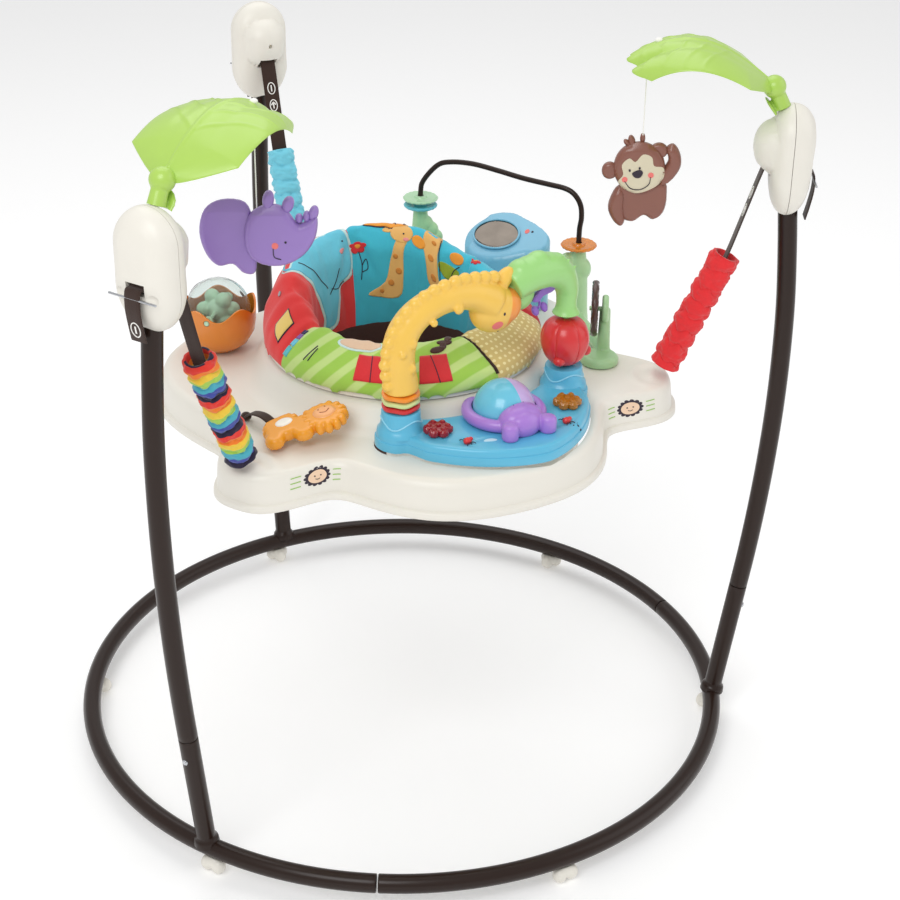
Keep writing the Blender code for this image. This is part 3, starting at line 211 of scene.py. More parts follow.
def lathe(profile, steps=48, loop=False, wobble=None):
    """The profile of (radius, height) points turned about Z. wobble(angle, radius, height) moves a point."""
    rings = []
    for r, z in profile:
        ring = []
        for k in range(steps):
            a = 2 * pi * k / steps
            rr, zz = wobble(a, r, z) if wobble else (r, z)
            ring.append((rr * cos(a), rr * sin(a), zz))
        rings.append(ring)
    return skin(rings, loop)


def fill(outline, step):
    """Points, triangles, border edges and rim points of a filled outline, all cut to that step."""
    rim = []
    for a, b in zip(outline, outline[1:] + outline[:1]):
        a, b = Vector(a), Vector(b)
        parts = max(1, round((b - a).length / step))
        rim += [a.lerp(b, k / parts) for k in range(parts)]
    corners = np.array(rim)
    xs, ys = corners.T.tolist()
    inner = []
    for i in range(int((max(xs) - min(xs)) / step) + 1):
        for j in range(int((max(ys) - min(ys)) / step) + 1):
            q = Vector((min(xs) + (i + 0.5 * (j % 2)) * step, min(ys) + j * step * 0.87))
            if edge_distance(q, corners) > 0.6 * step:
                inner.append(q)
    edges = [(i, (i + 1) % len(rim)) for i in range(len(rim))]
    verts, _, tris, _, _, _ = delaunay_2d_cdt(rim + inner, edges, [], 1, 1e-7)
    loops = [e for t in tris for e in zip(t, t[1:] + t[:1])]
    known = set(loops)
    border = [e for e in loops if (e[1], e[0]) not in known]
    return verts, tris, border, corners


def edge_distance(q, corners):
    return float(np.min(np.hypot(corners[:, 0] - q.x, corners[:, 1] - q.y)))


def sheet(outline, step, top, bottom):
    """A closed body over a filled outline. top and bottom turn a 2D point and its edge distance into 3D."""
    verts, tris, border, corners = fill(list(outline), step)
    edge = {i for e in border for i in e}
    gaps = [0.0 if i in edge else edge_distance(v, corners) for i, v in enumerate(verts)]
    n = len(verts)
    points = [top(v, d) for v, d in zip(verts, gaps)] + [bottom(v, d) for v, d in zip(verts, gaps)]
    faces = [tuple(t) for t in tris] + [tuple(i + n for i in reversed(t)) for t in tris]
    faces += [(b, a, a + n, b + n) for a, b in border]
    return add(points, faces)


def pillow(outline, thickness, lip=0.3, soft=None, step=0.0022, z=0.0):
    """A plate with crowned faces: lip is its rim's share of the thickness, soft how far the crown reaches."""
    half = thickness / 2
    soft = soft or half

    def crown(d):
        share = 1 - min(1.0, d / soft)
        return half * (lip + (1 - lip) * sqrt(1 - share * share))

    return sheet(outline, step, lambda v, d: (v.x, v.y, z + crown(d)), lambda v, d: (v.x, v.y, z - crown(d)))


def print_on(tree, cast, outline, height=0.0004, step=0.003):
    """A thin closed patch on a surface. cast turns a 2D point into a ray: origin, direction."""
    found = {}

    def hit(v):
        key = (round(v.x, 7), round(v.y, 7))
        if key not in found:
            origin, direction = cast(v.x, v.y)
            best = tree.ray_cast(origin, direction)
            best = best if best[0] else tree.find_nearest(origin)
            normal = best[1] if best[1].dot(direction) < 0 else -best[1]
            found[key] = (best[0], normal)
        return found[key]

    def level(offset):
        return lambda v, d: tuple(hit(v)[0] + hit(v)[1] * offset)

    return sheet(outline, step, level(height), level(-0.0006))


def surface(obj):
    """A search tree over the object's faces, for print_on."""
    mesh = obj.data
    points = [obj.matrix_world @ v.co for v in mesh.vertices]
    return BVHTree.FromPolygons(points, [tuple(p.vertices) for p in mesh.polygons])


def facing(matrix, reach=0.05):
    """Rays for print_on that run against +Z of the matrix, from reach above its plane."""
    down = -(matrix.to_3x3() @ Vector((0, 0, 1)))
    return lambda x, y: (matrix @ Vector((x, y, reach)), down)


def blob(radii, centre=(0, 0, 0), turn=(0, 0, 0), segments=32, rings=20):
    bm = bmesh.new()
    euler = Euler([radians(t) for t in turn]).to_matrix().to_4x4()
    place = shift(centre) @ euler @ Matrix.Diagonal((*radii, 1.0))
    bmesh.ops.create_uvsphere(bm, u_segments=segments, v_segments=rings, radius=1.0, matrix=place)
    return placed(bm)


def block(size, centre):
    bm = bmesh.new()
    bmesh.ops.create_cube(bm, size=1.0, matrix=shift(centre) @ Matrix.Diagonal((*size, 1.0)))
    return placed(bm)


def moved(obj, matrix):
    obj.data.transform(matrix)
    if matrix.determinant() < 0:
        obj.data.flip_normals()
    return obj


def joined(*objs):
    """One object that holds all of the meshes."""
    bm = bmesh.new()
    for obj in objs:
        bm.from_mesh(obj.data)
    bm.to_mesh(objs[0].data)
    bm.free()
    for obj in objs[1:]:
        bpy.data.objects.remove(obj)
    return objs[0]


def modified(obj, kind, **settings):
    """Applies one modifier."""
    modifier = obj.modifiers.new("m", kind)
    for key, value in settings.items():
        setattr(modifier, key, value)
    graph = bpy.context.evaluated_depsgraph_get()
    mesh = bpy.data.meshes.new_from_object(obj.evaluated_get(graph))
    obj.modifiers.clear()
    obj.data = mesh
    return obj


def melt(voxel, rounds, *objs):
    """The meshes flowed into one body."""
    obj = modified(joined(*objs), "REMESH", mode="VOXEL", voxel_size=voxel)
    return modified(obj, "SMOOTH", iterations=rounds, factor=0.6)


def cut(obj, *tools, operation="DIFFERENCE"):
    for tool in tools:
        modified(obj, "BOOLEAN", operation=operation, solver="EXACT", object=tool)
        bpy.data.objects.remove(tool)
    return obj


def piece(name, obj, body, look, *nodes, slot=None, place=None, sharp=35):
    """Names obj, gives it its look, and hangs it on a body in place of CAD nodes."""
    obj.name = name
    obj.data.name = name
    if look:
        obj.data.materials.clear()
        obj.data.materials.append(look)
    obj.data.shade_smooth()
    obj.data.set_sharp_from_angle(angle=radians(sharp))
    if place:
        obj.matrix_world = place
    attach(obj, body)
    if nodes:
        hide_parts(*nodes)
    return obj


def printed(name, look, body, target, cast, outlines, height=0.0004, step=0.003, slot=None):
    """One piece of thin patches on the target's surface."""
    tree = surface(target)
    patches = [print_on(tree, cast, outline, height, step) for outline in outlines]
    return piece(name, joined(*patches), body, look, slot=slot)


# ---------------------------------------------------------------- materials


def srgb(red, green, blue):
    """Linear colour from 0-255 values."""
    parts = [c / 255 for c in (red, green, blue)]
    return tuple(c / 12.92 if c < 0.04045 else ((c + 0.055) / 1.055) ** 2.4 for c in parts) + (1.0,)


def node(tree, kind, settings=None, **inputs):
    """A shader node with its inputs set or linked. An input _n is the nth socket."""
    made = tree.nodes.new("ShaderNode" + kind)
    for key, value in (settings or {}).items():
        setattr(made, key, value)
    for key, value in inputs.items():
        socket = made.inputs[int(key[1:])] if key[0] == "_" else made.inputs[key.replace("_", " ")]
        if isinstance(value, bpy.types.NodeSocket):
            tree.links.new(value, socket)
        else:
            socket.default_value = value
    return made


def maths(tree, operation, *values):
    """The output of a Math node on numbers or sockets."""
    inputs = {f"_{i}": value for i, value in enumerate(values)}
    return node(tree, "Math", {"operation": operation}, **inputs).outputs[0]


def plain(name, colour, roughness=0.35, grain=900.0, bump=0.02, mottle=0.04, **settings):
    """A moulded or painted finish with a faint mottle and grain. settings go to the Principled node."""
    look = bpy.data.materials.new(name)
    look.use_nodes = True
    tree = look.node_tree
    shader = tree.nodes["Principled BSDF"]
    where = node(tree, "TexCoord").outputs["Object"]
    cloud = node(tree, "TexNoise", Vector=where, Scale=38.0, Detail=3.0)
    dark = tuple(c * (1 - mottle) for c in colour[:3]) + (1.0,)
    light = tuple(min(1.0, c * (1 + mottle)) for c in colour[:3]) + (1.0,)
    mix = node(tree, "Mix", {"data_type": "RGBA"}, Factor=cloud.outputs["Fac"], A=dark, B=light)
    tree.links.new(mix.outputs["Result"], shader.inputs["Base Color"])
    fine = node(tree, "TexNoise", Vector=where, Scale=grain, Detail=2.0)
    relief = node(tree, "Bump", Strength=bump, Distance=0.001, Height=fine.outputs["Fac"])
    tree.links.new(relief.outputs["Normal"], shader.inputs["Normal"])
    shader.inputs["Roughness"].default_value = roughness
    for key, value in settings.items():
        shader.inputs[key.replace("_", " ")].default_value = value
    return look


def over(look, mask, colour):
    """Paints colour over the look where mask, a socket, is 1."""
    tree = look.node_tree
    shader = tree.nodes["Principled BSDF"]
    below = shader.inputs["Base Color"].links[0].from_socket
    mix = node(tree, "Mix", {"data_type": "RGBA"}, Factor=mask, A=below, B=colour)
    tree.links.new(mix.outputs["Result"], shader.inputs["Base Color"])
    return look


def coordinate(look, axis):
    """The coordinate along an axis, as a socket."""
    tree = look.node_tree
    where = node(tree, "TexCoord").outputs["Object"]
    return node(tree, "VectorMath", {"operation": "DOT_PRODUCT"}, _0=where, _1=axis).outputs["Value"]


def above(look, value, edge, soft=0.0003):
    """A mask that is 1 where the socket's value is over edge."""
    made = node(look.node_tree, "MapRange", {"interpolation_type": "SMOOTHSTEP"}, Value=value)
    made.inputs["From Min"].default_value = edge - soft
    made.inputs["From Max"].default_value = edge + soft
    return made.outputs["Result"]


def cloth(name, colour, weave):
    """Brushed woven cloth."""
    return plain(name, colour, 0.9, grain=weave, bump=0.25, mottle=0.06, Sheen_Weight=0.25,
                 Specular_IOR_Level=0.2)


def gloss(name, colour, roughness=0.28, **settings):
    return plain(name, colour, roughness, Coat_Weight=0.25, Coat_Roughness=0.15, **settings)


BROWN_PAINT = gloss("brown_gloss_paint", srgb(40, 26, 20), 0.3, bump=0.03, grain=500.0)
for key, value in (("Specular IOR Level", 0.25), ("Coat Weight", 0.1)):
    BROWN_PAINT.node_tree.nodes["Principled BSDF"].inputs[key].default_value = value
CREAM = plain("warm_white_plastic", srgb(232, 228, 218), 0.38, mottle=0.015)
LEAF = gloss("leaf_green_plastic", srgb(172, 208, 92), 0.32)
WEBBING = cloth("brown_webbing", srgb(58, 42, 36), 900.0)
INK = plain("dark_print", srgb(45, 35, 50), 0.6)
WHITE = plain("white_print", srgb(245, 243, 238), 0.6)
PINK = plain("pink_print", srgb(235, 120, 115), 0.6)
STEEL = plain("bright_steel", srgb(190, 192, 196), 0.25, Metallic=1.0)


# ---------------------------------------------------------------- floor ring, posts, housings, straps


def ring_point(azimuth):
    a = radians(azimuth)
    return (RING_RADIUS * cos(a), CENTRE.y + RING_RADIUS * sin(a), RING_HEIGHT)


def lean(share):
    """A point on the stub's centre line."""
    radius, height = STUB_TOP
    return RING_RADIUS + (radius - RING_RADIUS) * share, RING_HEIGHT + (height - RING_HEIGHT) * share


def base_tube(place, azimuth):
    """A third of the floor ring, its welded stub with the fillet, and the screw head."""
    first = azimuth - 90 + 0.12
    ring = [(*ring_point(first + 119.76 * k / 40), TUBE_RADIUS) for k in range(41)]
    arc = tube(ring, sides=28, steps=2, bevel=0.0014)
    low, top = lean(0.0), lean(1.0)
    ends = [(low[0], 0, low[1], TUBE_RADIUS), (top[0], 0, top[1] - 0.0002, TUBE_RADIUS)]
    stub = tube(ends, 28, 8, 0.0012)
    weld = []
    for share, radius in ((0.03, 0.015), (0.072, 0.0142), (0.09, 0.0122), (0.11, 0.0109)):
        r, z = lean(share)
        weld.append((r, 0, z, radius))
    upright = moved(joined(stub, tube(weld, 28, 3)), at(azimuth))
    piece(f"ring_third_{place}", joined(arc, upright), "frame", BROWN_PAINT, f"base_tube_{place}",
          slot="brown_paint")
    r, z = lean(0.82)
    head = lathe(mm([(0.1, 2.2), (2.4, 1.9), (3.6, 0.8), (3.7, -2)]), 20)
    moved(head, at(azimuth, r + TUBE_RADIUS, 0, z) @ turned("Y", 90))
    piece(f"post_screw_{place}", head, "frame", STEEL, slot="brown_paint")


def post(place, azimuth):
    bow = mm([(422.1, 195.6), (428.5, 245), (435, 305), (440.5, 370), (444.5, 440), (446, 510), (445, 580),
              (440.5, 650), (435.5, 710), (433, 762)])
    bar = tube([(r, 0, z, TUBE_RADIUS) for r, z in bow], 28, 5, 0.0012)
    piece(f"post_{place}_tube", moved(bar, at(azimuth)), "frame", BROWN_PAINT, f"post_{place}",
          slot="brown_paint")


def foot(number):
    """A rounded three-lobed pad under the ring."""
    place = at(31.5 + 60 * (number - 1), RING_RADIUS)
    pads = [blob((0.0125, 0.0125, 0.0085), (0, 0, 0.0135))]
    for k in range(3):
        a = radians(120 * k + 60)
        pads.append(blob((0.0085, 0.0085, 0.0095), (0.0085 * cos(a), 0.0085 * sin(a), 0.01)))
    pad = melt(0.0012, 5, *pads)
    groove = tube([(*p, TUBE_RADIUS + 0.0012) for p in ((0, -0.03, RING_HEIGHT), (0, 0.03, RING_HEIGHT))])
    pad = cut(pad, groove, block((0.1, 0.1, 0.02), (0, 0, -0.00995)))
    piece(f"foot_pad_{number}", moved(pad, place), "frame", CREAM, f"foot_{number}", slot="cream_plastic")


def housing(place, azimuth, side):
    """Half a strap housing: side 1 faces outwards, -1 towards the seat."""
    middle, top, bottom, half = 0.77, 0.818, 0.69, 0.036
    plateau = 0.0245 if side > 0 else 0.0215
    steps, rows = 72, 22

    def point(k, share):
        a = 2 * pi * k / steps
        y, z = half * cos(a), sin(a)
        if z >= 0:
            z = top - half - middle + half * z
        else:
            square = abs(z) ** 0.5
            y *= (1 - 0.1 * square) * (1 + 0.12 * min(1.0, abs(z) / 0.3))
            z = (bottom - middle) * square
        y, z = y * share, z * share
        edge = max(0.0, 1 - share**4) ** 0.5
        bump = max(0.0, 1 - (y * y + z * z) / 0.03**2) if side < 0 else 0.0
        x = plateau * edge + 0.0195 * sqrt(bump) * edge
        if side > 0:
            gap = hypot(y, z - 0.014)
            x += 0.0011 * (1 / (1 + exp((gap - 0.0215) / 0.0007))) * edge
        return (side * (0.0003 + x), y, middle + z)

    rings = [[point(k, sin(0.5 * pi * (r + 1) / rows) ** 0.9) for k in range(steps)] for r in range(rows)]
    rings.append([(side * 0.0003, p[1] * 0.985, middle + (p[2] - middle) * 0.985) for p in rings[-1]])
    shell = skin(rings)
    slot_height = 0.744 if side < 0 else 0.7405
    tools = [block((0.05, 0.0232, 0.0125), (side * 0.034, 0, slot_height))]
    tools.append(tube([(0.0, 0, z, TUBE_RADIUS + 0.0008) for z in (0.66, 0.71)], 28))
    if side > 0:
        tools.append(block((0.01, 0.0232, 0.06), (plateau + 0.0038, 0, 0.7115)))
        tools += [blob((0.0085, 0.0095, 0.0085), (plateau + 0.0035, s * 0.0215, 0.732)) for s in (1, -1)]
    else:
        tools.append(tube(mm([(-60, 0, 769, 2.8), (-36, 0, 769, 2.8)]), 20))
    shell = cut(shell, *tools)
    which = "outer" if side > 0 else "inner"
    piece(f"housing_{which}_{place}_shell", moved(shell, at(azimuth, SEAM_RADIUS)), "frame", CREAM,
          f"housing_{which}_{place}", slot="cream_plastic")
    if side > 0:
        wire = tube([(0.029, s * 0.03, 0.7325, 0.0013) for s in (-1, -0.3, 0.3, 1)], 16, 2, 0.0008)
        moved(wire, at(azimuth, SEAM_RADIUS))
        piece(f"height_pin_{place}", wire, "frame", STEEL, slot="spring_steel")


def strap_line():
    """(radius, height) points of the webbing: tail, over the post's top, and down to the spring."""
    tail = [(456, 686), (459.5, 702), (462.5, 722), (461, 739.5), (453, 742.5)]
    over_top = [(450, 755), (447, 768), (433, 776), (419, 768), (411, 752)]
    return mm(tail + over_top + [(404, 742), (372, 637), (355.75, 600.34)])


def ribbon(line, width, thickness):
    """Flat webbing along (x, z) points, width wide in Y, with rounded selvages."""
    rows = [Vector((x, 0, z)) for x, z in smooth(line, 6)]
    rings = []
    for i, q in enumerate(rows):
        run = (rows[min(i + 1, len(rows) - 1)] - rows[max(i - 1, 0)]).normalized()
        up = Vector((run.z, 0, -run.x)) * thickness / 2
        ring = []
        for s, y in ((1, -0.42), (1, -0.2), (1, 0.2), (1, 0.42), (0.6, 0.48), (0, 0.5), (-0.6, 0.48),
                     (-1, 0.42), (-1, 0.2), (-1, -0.2), (-1, -0.42), (-0.6, -0.48), (0, -0.5),
                     (0.6, -0.48)):
            ring.append(q + up * s + Vector((0, y * width, 0)))
        rings.append(ring)
    return skin(rings)


def strap(place, azimuth):
    """The webbing, and the white height marks printed on it: plain ovals with a generic digit or arrow."""
    web = moved(ribbon(strap_line(), 0.02, 0.0018), at(azimuth))
    tree = surface(web)
    bend = Vector((0.404, 0, 0.742))
    down = Vector((STRAP_END[0] - bend.x, 0, STRAP_END[1] - bend.z)).normalized()
    side = Vector((0, -1, 0))
    axes = Matrix((side, -down, side.cross(-down))).transposed().to_4x4()
    tail = facing(at(azimuth) @ shift((0.4636, 0, 0)) @ OUTWARD, 0.03)
    inner = facing(at(azimuth) @ shift(bend) @ axes, 0.02)
    shapes = [(tail, ring_outline(0, 0.6995, 0.0062, 0.0085)),
              (tail, stroke([(0, 0.6955), (0, 0.7035)], 0.0018))]
    digit, arrow = -0.03, -0.052
    for gap in (digit, arrow):
        shapes.append((inner, ring_outline(0, gap, 0.0055, 0.0078)))
        shapes.append((inner, stroke([(0, gap - 0.004), (0, gap + 0.004)], 0.0015, 2)))
    head = [(-0.003, arrow + 0.0006), (0, arrow + 0.0042), (0.003, arrow + 0.0006)]
    shapes.append((inner, stroke(head, 0.0015, 2)))
    marks = [print_on(tree, cast, outline, step=0.002) for cast, outline in shapes]
    piece(f"strap_{place}_web", web, "frame", WEBBING, f"strap_{place}", slot="brown_webbing")
    piece(f"strap_{place}_marks", joined(*marks), "frame", WHITE, slot="brown_webbing")


def ring_outline(x, y, rx, ry):
    """An oval band's outline, left open by a hair at its foot so that it's one loop."""
    outer, inner, width = [], [], 0.0011
    for k in range(37):
        a = radians(-88 + 356 * k / 36) + pi / 2
        outer.append((x + rx * sin(a), y - ry * cos(a)))
        inner.append((x + (rx - width) * sin(a), y - (ry - width) * cos(a)))
    return outer + inner[::-1]


def suspension(share):
    """A station's point on the spring's line: 0 at the strap's end, 1 at the tray's hook."""
    return Vector((STRAP_END[0] - SPRING_RUN[0] * share, 0, STRAP_END[1] - SPRING_RUN[1] * share))


def stretched(name, obj, azimuth, look, node_name):
    """A piece between the frame and the tray, set in place: its transform is baked into its mesh and its CAD
    node hidden.
    """
    obj.name = obj.data.name = name
    obj.data.materials.append(look)
    obj.data.shade_smooth()
    at(azimuth) @ suspension(0.0)
    at(azimuth) @ suspension(1.0)
    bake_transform(obj)
    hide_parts(node_name)


def sleeve(place, azimuth, look, bands, seed):
    """The gathered cloth sleeve. Its bunches are closer together where it's scrunched most."""
    length, steps, rows = hypot(*SPRING_RUN), 64, 150
    rings, levels = [], []
    for r in range(rows + 1):
        t = r / rows
        ring = []
        for k in range(steps):
            a = 2 * pi * k / steps
            swirl = noise.noise(Vector((cos(a) * 1.3, sin(a) * 1.3, t * 5 + seed)))
            bunch = abs(sin(pi * (t * bands + 0.45 * swirl)))
            fine = noise.noise(Vector((cos(a) * 2.6, sin(a) * 2.6, t * 34 + seed)))
            radius = 0.0136 + 0.0042 * sqrt(bunch) + 0.002 * fine
            if r in (0, rows):
                radius = 0.0148
            ring.append((radius * cos(a), radius * sin(a), length * (1 - t)))
            levels.append(t + 0.025 * swirl)
        rings.append(ring)
    for r, share in ((rows, 1.0), (0, 0.0)):
        rings.append([(x * 0.82, y * 0.82, z) for x, y, z in rings[r]])
        levels += [share] * steps
    body = skin(rings, loop=True)
    body.data.attributes.new("level", "FLOAT", "POINT").data.foreach_set("value", levels)
    moved(body, at(azimuth, HOOK_RADIUS, 0, HOOK_HEIGHT) @ SPRING_TILT)
    stretched(f"sleeve_{place}_cloth", body, azimuth, look, f"sleeve_{place}")


def spring(place, azimuth):
    """The coil spring inside the sleeve."""
    count, length, radius = 6 * 20, hypot(*SPRING_RUN) * 0.6, 0.0108
    turns = [k * pi / 10 for k in range(count + 1)]
    line = [(radius * cos(a), radius * sin(a), length * k / count, 0.0012) for k, a in enumerate(turns)]
    coil = moved(tube(line, 8, 1), at(azimuth) @ shift(suspension(0.93)) @ SPRING_TILT)
    stretched(f"spring_{place}_coil", coil, azimuth, STEEL, f"spring_{place}")


def banded(name, colours, repeats):
    """Cloth in bands along the sleeve's level attribute."""
    look = cloth(name, colours[0], 1400.0)
    tree = look.node_tree
    level = node(tree, "Attribute", {"attribute_name": "level"}).outputs["Fac"]
    turns = maths(tree, "MULTIPLY", level, float(repeats))
    ramp = node(tree, "ValToRGB", Fac=maths(tree, "FRACT", turns))
    ramp.color_ramp.interpolation = "CONSTANT"
    points = ramp.color_ramp.elements
    while len(points) < len(colours):
        points.new(len(points) / len(colours))
    for i, colour in enumerate(colours):
        points[i].position = i / len(colours)
        points[i].color = colour
    tree.links.new(ramp.outputs["Color"], tree.nodes["Principled BSDF"].inputs["Base Color"])
    return look


# ---------------------------------------------------------------- leaves and hanging toys


def leaf_point(t, s):
    """A point of the leaf's middle surface: t runs from root to tip, s across it from -1 to 1."""
    half_width = 0.01 + 0.056 * min(1.0, 5.0 * t) ** 0.8 * cos(0.85 * max(0.0, t - 0.35)) ** 2
    lobe = 0.014 * (1 - abs(cos(1.5 * pi * s))) * t**3
    radius = 0.405 - 0.16 * t + lobe + 0.012 * s * s * t
    arch = 0.06 * sin(pi * (0.08 + 0.72 * t)) - 0.01
    height = 0.837 + arch - 0.017 * s * s * sin(pi * min(1.0, 0.15 + 0.7 * t))
    return radius, half_width * s, height


def leaf(place, azimuth):
    """The arched leaf with raised veins and lengthwise creases, on its ball, stem and bract."""
    across, lengthwise = 96, 90

    def relief(t, s):
        fold = -0.0022 * exp(-((abs(s) - 0.36) / 0.1) ** 2) * t
        vein = 0.0016 * exp(-((s / 0.045) ** 2))
        for k in range(1, 6):
            start = 0.12 + 0.15 * k
            run = t - start - 0.3 * abs(s)
            vein += 0.0011 * exp(-((run / 0.013) ** 2)) * min(1.0, 6 * abs(s)) * (1 - abs(s) ** 6)
        return fold + vein

    verts, faces = [], []
    for sheet_side in (1, -1):
        for i in range(lengthwise + 1):
            for j in range(across + 1):
                t, s = i / lengthwise, 2 * j / across - 1
                r, y, z = leaf_point(t, s)
                rim = min(1.0, (1 - abs(s)) * 9, (1 - t) * 14)
                thick = 0.0011 * (0.35 + 0.65 * sqrt(max(0.0, rim)))
                verts.append((r, y, z + sheet_side * thick + relief(t, s)))
    wide = across + 1
    size = wide * (lengthwise + 1)
    for i in range(lengthwise):
        for j in range(across):
            a = i * wide + j
            faces.append((a, a + 1, a + wide + 1, a + wide))
            faces.append((a + size, a + wide + size, a + wide + 1 + size, a + 1 + size))
    rim = list(range(across)) + [i * wide + across for i in range(lengthwise)]
    rim += [lengthwise * wide + across - j for j in range(across)]
    rim += [(lengthwise - i) * wide for i in range(lengthwise)]
    faces += [(b, a, a + size, b + size) for a, b in zip(rim, rim[1:] + rim[:1])]
    blade = add(verts, faces)
    root = (0.409, 0, 0.837)
    knob = blob((0.013, 0.0135, 0.013), root)
    neck = tube(mm([(396, 0, 842.5, 7), (386, 0, 850, 5), (374, 0, 860, 3.6)]), 20, 4)
    stem = tube([(0.4235, 0, 0.8065, 0.01), (0.416, 0, 0.823, 0.009), (*root, 0.0085)], 24, 4)
    bract = pillow(smooth(mm([(0, 14), (13, 3), (9, -18), (0, -26), (-9, -18),
                              (-13, 3)]), 5, True), 0.003, soft=0.004)
    moved(bract, shift((0.408, 0, 0.814)) @ turned("Y", 52)
          @ turned("Z", 90))
    body = melt(0.0011, 3, knob, stem, neck, bract)
    body = cut(body, blob((0.0345, 0.0365, 0.0365), (SEAM_RADIUS, 0, 0.782)))
    piece(f"leaf_{place}_blade", moved(joined(blade, body), at(azimuth)), "frame", LEAF, f"leaf_{place}",
          slot="leaf_green", sharp=60)
    r, y, z = leaf_point(0.8, 0.18)
    button = blob((0.0042, 0.0042, 0.003), (r, y, z + 0.003))
    piece(f"cord_button_{place}", moved(button, at(azimuth)), "frame", WHITE, slot="cream_plastic")


def hung(name, look, place, parts, prints):
    """A hanging toy: its cord, its crowned plates in one colour, and its printed face."""
    top = Vector((0, CORD_TOP - place.translation.z, 0))
    cord = tube([(0, -0.013, 0, 0.0007), (0, top.y * 0.5, 0, 0.0007), (0, top.y, 0, 0.0007)], 10, 3)
    piece(f"{name}_cord", cord, name, WHITE, place=place, slot="cream_plastic")
    shell = joined(*parts)
    piece(f"{name}_body", shell, name, look, f"{name}_toy", place=place, sharp=50)
    for ink, height, outlines in prints:
        printed(f"{name}_{ink.name}", ink, name, shell, facing(place, 0.04), outlines, height, 0.0018)


# ---------------------------------------------------------------- tray


def apart(a, b):
    return abs((a - b + 180) % 360 - 180)


def deck_radius(azimuth):
    """The tray's outline: a lobe under each strap, a bulge under each toy station, and waists between."""
    radius = 0.245
    for place in POSTS.values():
        radius += 0.077 * exp(-((apart(azimuth, place) / 12.6) ** 3.0))
    for place, reach, spread, power in ((270, 0.056, 34, 3.5), (150, 0.047, 30, 2.2), (30, 0.047, 30, 2.2)):
        radius += reach * exp(-((apart(azimuth, place) / spread) ** power))
    return radius


def emboss(radius, azimuth):
    """Raised crescents and a low boss round each strap's anchor."""
    rise = 0.0
    for place in POSTS.values():
        turn = radians(apart(azimuth, place))
        u, v = radius * cos(turn) - HOOK_RADIUS, radius * sin(turn)
        gap = hypot(u * 0.9, v)
        rise += 0.003 / (1 + exp((gap - 0.0185) / 0.0012))
        inner = 1 / (1 + exp((u + 0.004) / 0.004))
        rise += 0.0022 * exp(-(((gap - 0.034) / 0.0032) ** 2)) * inner
    return rise


def console_outline(grow):
    """The console's crescent: an outer arc, a round end about each pedestal, and an inner arc."""
    outer, inner, end_radius = 0.292 + grow, 0.178 - grow, 0.029 + grow
    reach = 27.0

    def end_arc(side, first):
        turns = [radians(first + 175 * k / 6) for k in range(7)]
        return [(ARCH_RADIUS + end_radius * cos(t), side * PEDESTAL + end_radius * sin(t)) for t in turns]

    points = []
    for k in range(13):
        a = -reach + 2 * reach * k / 12
        radius = outer - 0.0467 * (abs(a) / reach) ** 1.4
        points.append((radius * cos(radians(a)), radius * sin(radians(a))))
    points += end_arc(1, 15)
    back = [radians(28 - 56 * k / 8) for k in range(9)]
    points += [(inner * cos(a), inner * sin(a)) for a in back] + end_arc(-1, 170)
    return smooth(points, 3, True)


def deck():
    """The tray moulding, with the console's well, and the printed faces on its lobes."""
    steps = 360
    hole = mm([(144, 494), (144, 512.2), (145.2, 513.8), (160, 513.8), (165, 511.8), (169.5, 505),
               (175, 495.5), (181, 488.5), (188, 484), (196, 482.5)])
    rim = mm([(14, 481.5), (9, 480.2), (5.5, 477), (3.5, 472), (2.2, 460), (1.5, 449.5), (0.8, 447.4),
              (-2, 446.6), (-3.8, 444.8), (-4.2, 440), (-3, 438.2), (-1, 438), (2.2, 440.5), (4.6, 446),
              (6.6, 472), (12, 478.5)])
    below = mm([(192, 479), (180, 486.2), (166, 505), (160, 510.8), (147.2, 510.8), (147.2, 494)])
    rings = []

    def ring(at_azimuth):
        points = []
        for k in range(steps):
            a = radians(360 * k / steps)
            r, z = at_azimuth(360 * k / steps)
            points.append((r * cos(a), r * sin(a), z))
        rings.append(points)

    for r, z in hole:
        ring(lambda _, r=r, z=z: (r, z))
    for step in range(1, 30):
        share = step / 30

        def flat(azimuth, share=share):
            r = 0.196 + (deck_radius(azimuth) - 0.014 - 0.196) * share
            return r, 0.4825 - 0.001 * share + emboss(r, azimuth) * min(1.0, 12 * (1 - share))

        ring(flat)
    for inset, z in rim:
        ring(lambda azimuth, inset=inset, z=z: (deck_radius(azimuth) - inset, z))
    for r, z in below:
        ring(lambda _, r=r, z=z: (r, z))
    shell = skin(rings, loop=True)
    well = pillow(console_outline(0.0008), 0.06, lip=1.0, soft=0.001, step=0.02, z=DECK_TOP)
    well.data.transform(turned("Z", CONSOLE))
    shell = moved(cut(shell, well), shift(CENTRE))
    piece("tray_moulding", shell, "tray", CREAM, "tray_deck", slot="cream_plastic", sharp=40)
    for azimuth, height, side in ((221.7, 0.468, 1), (319.8, 0.465, -1)):
        tray_face(shell, azimuth, height, side)


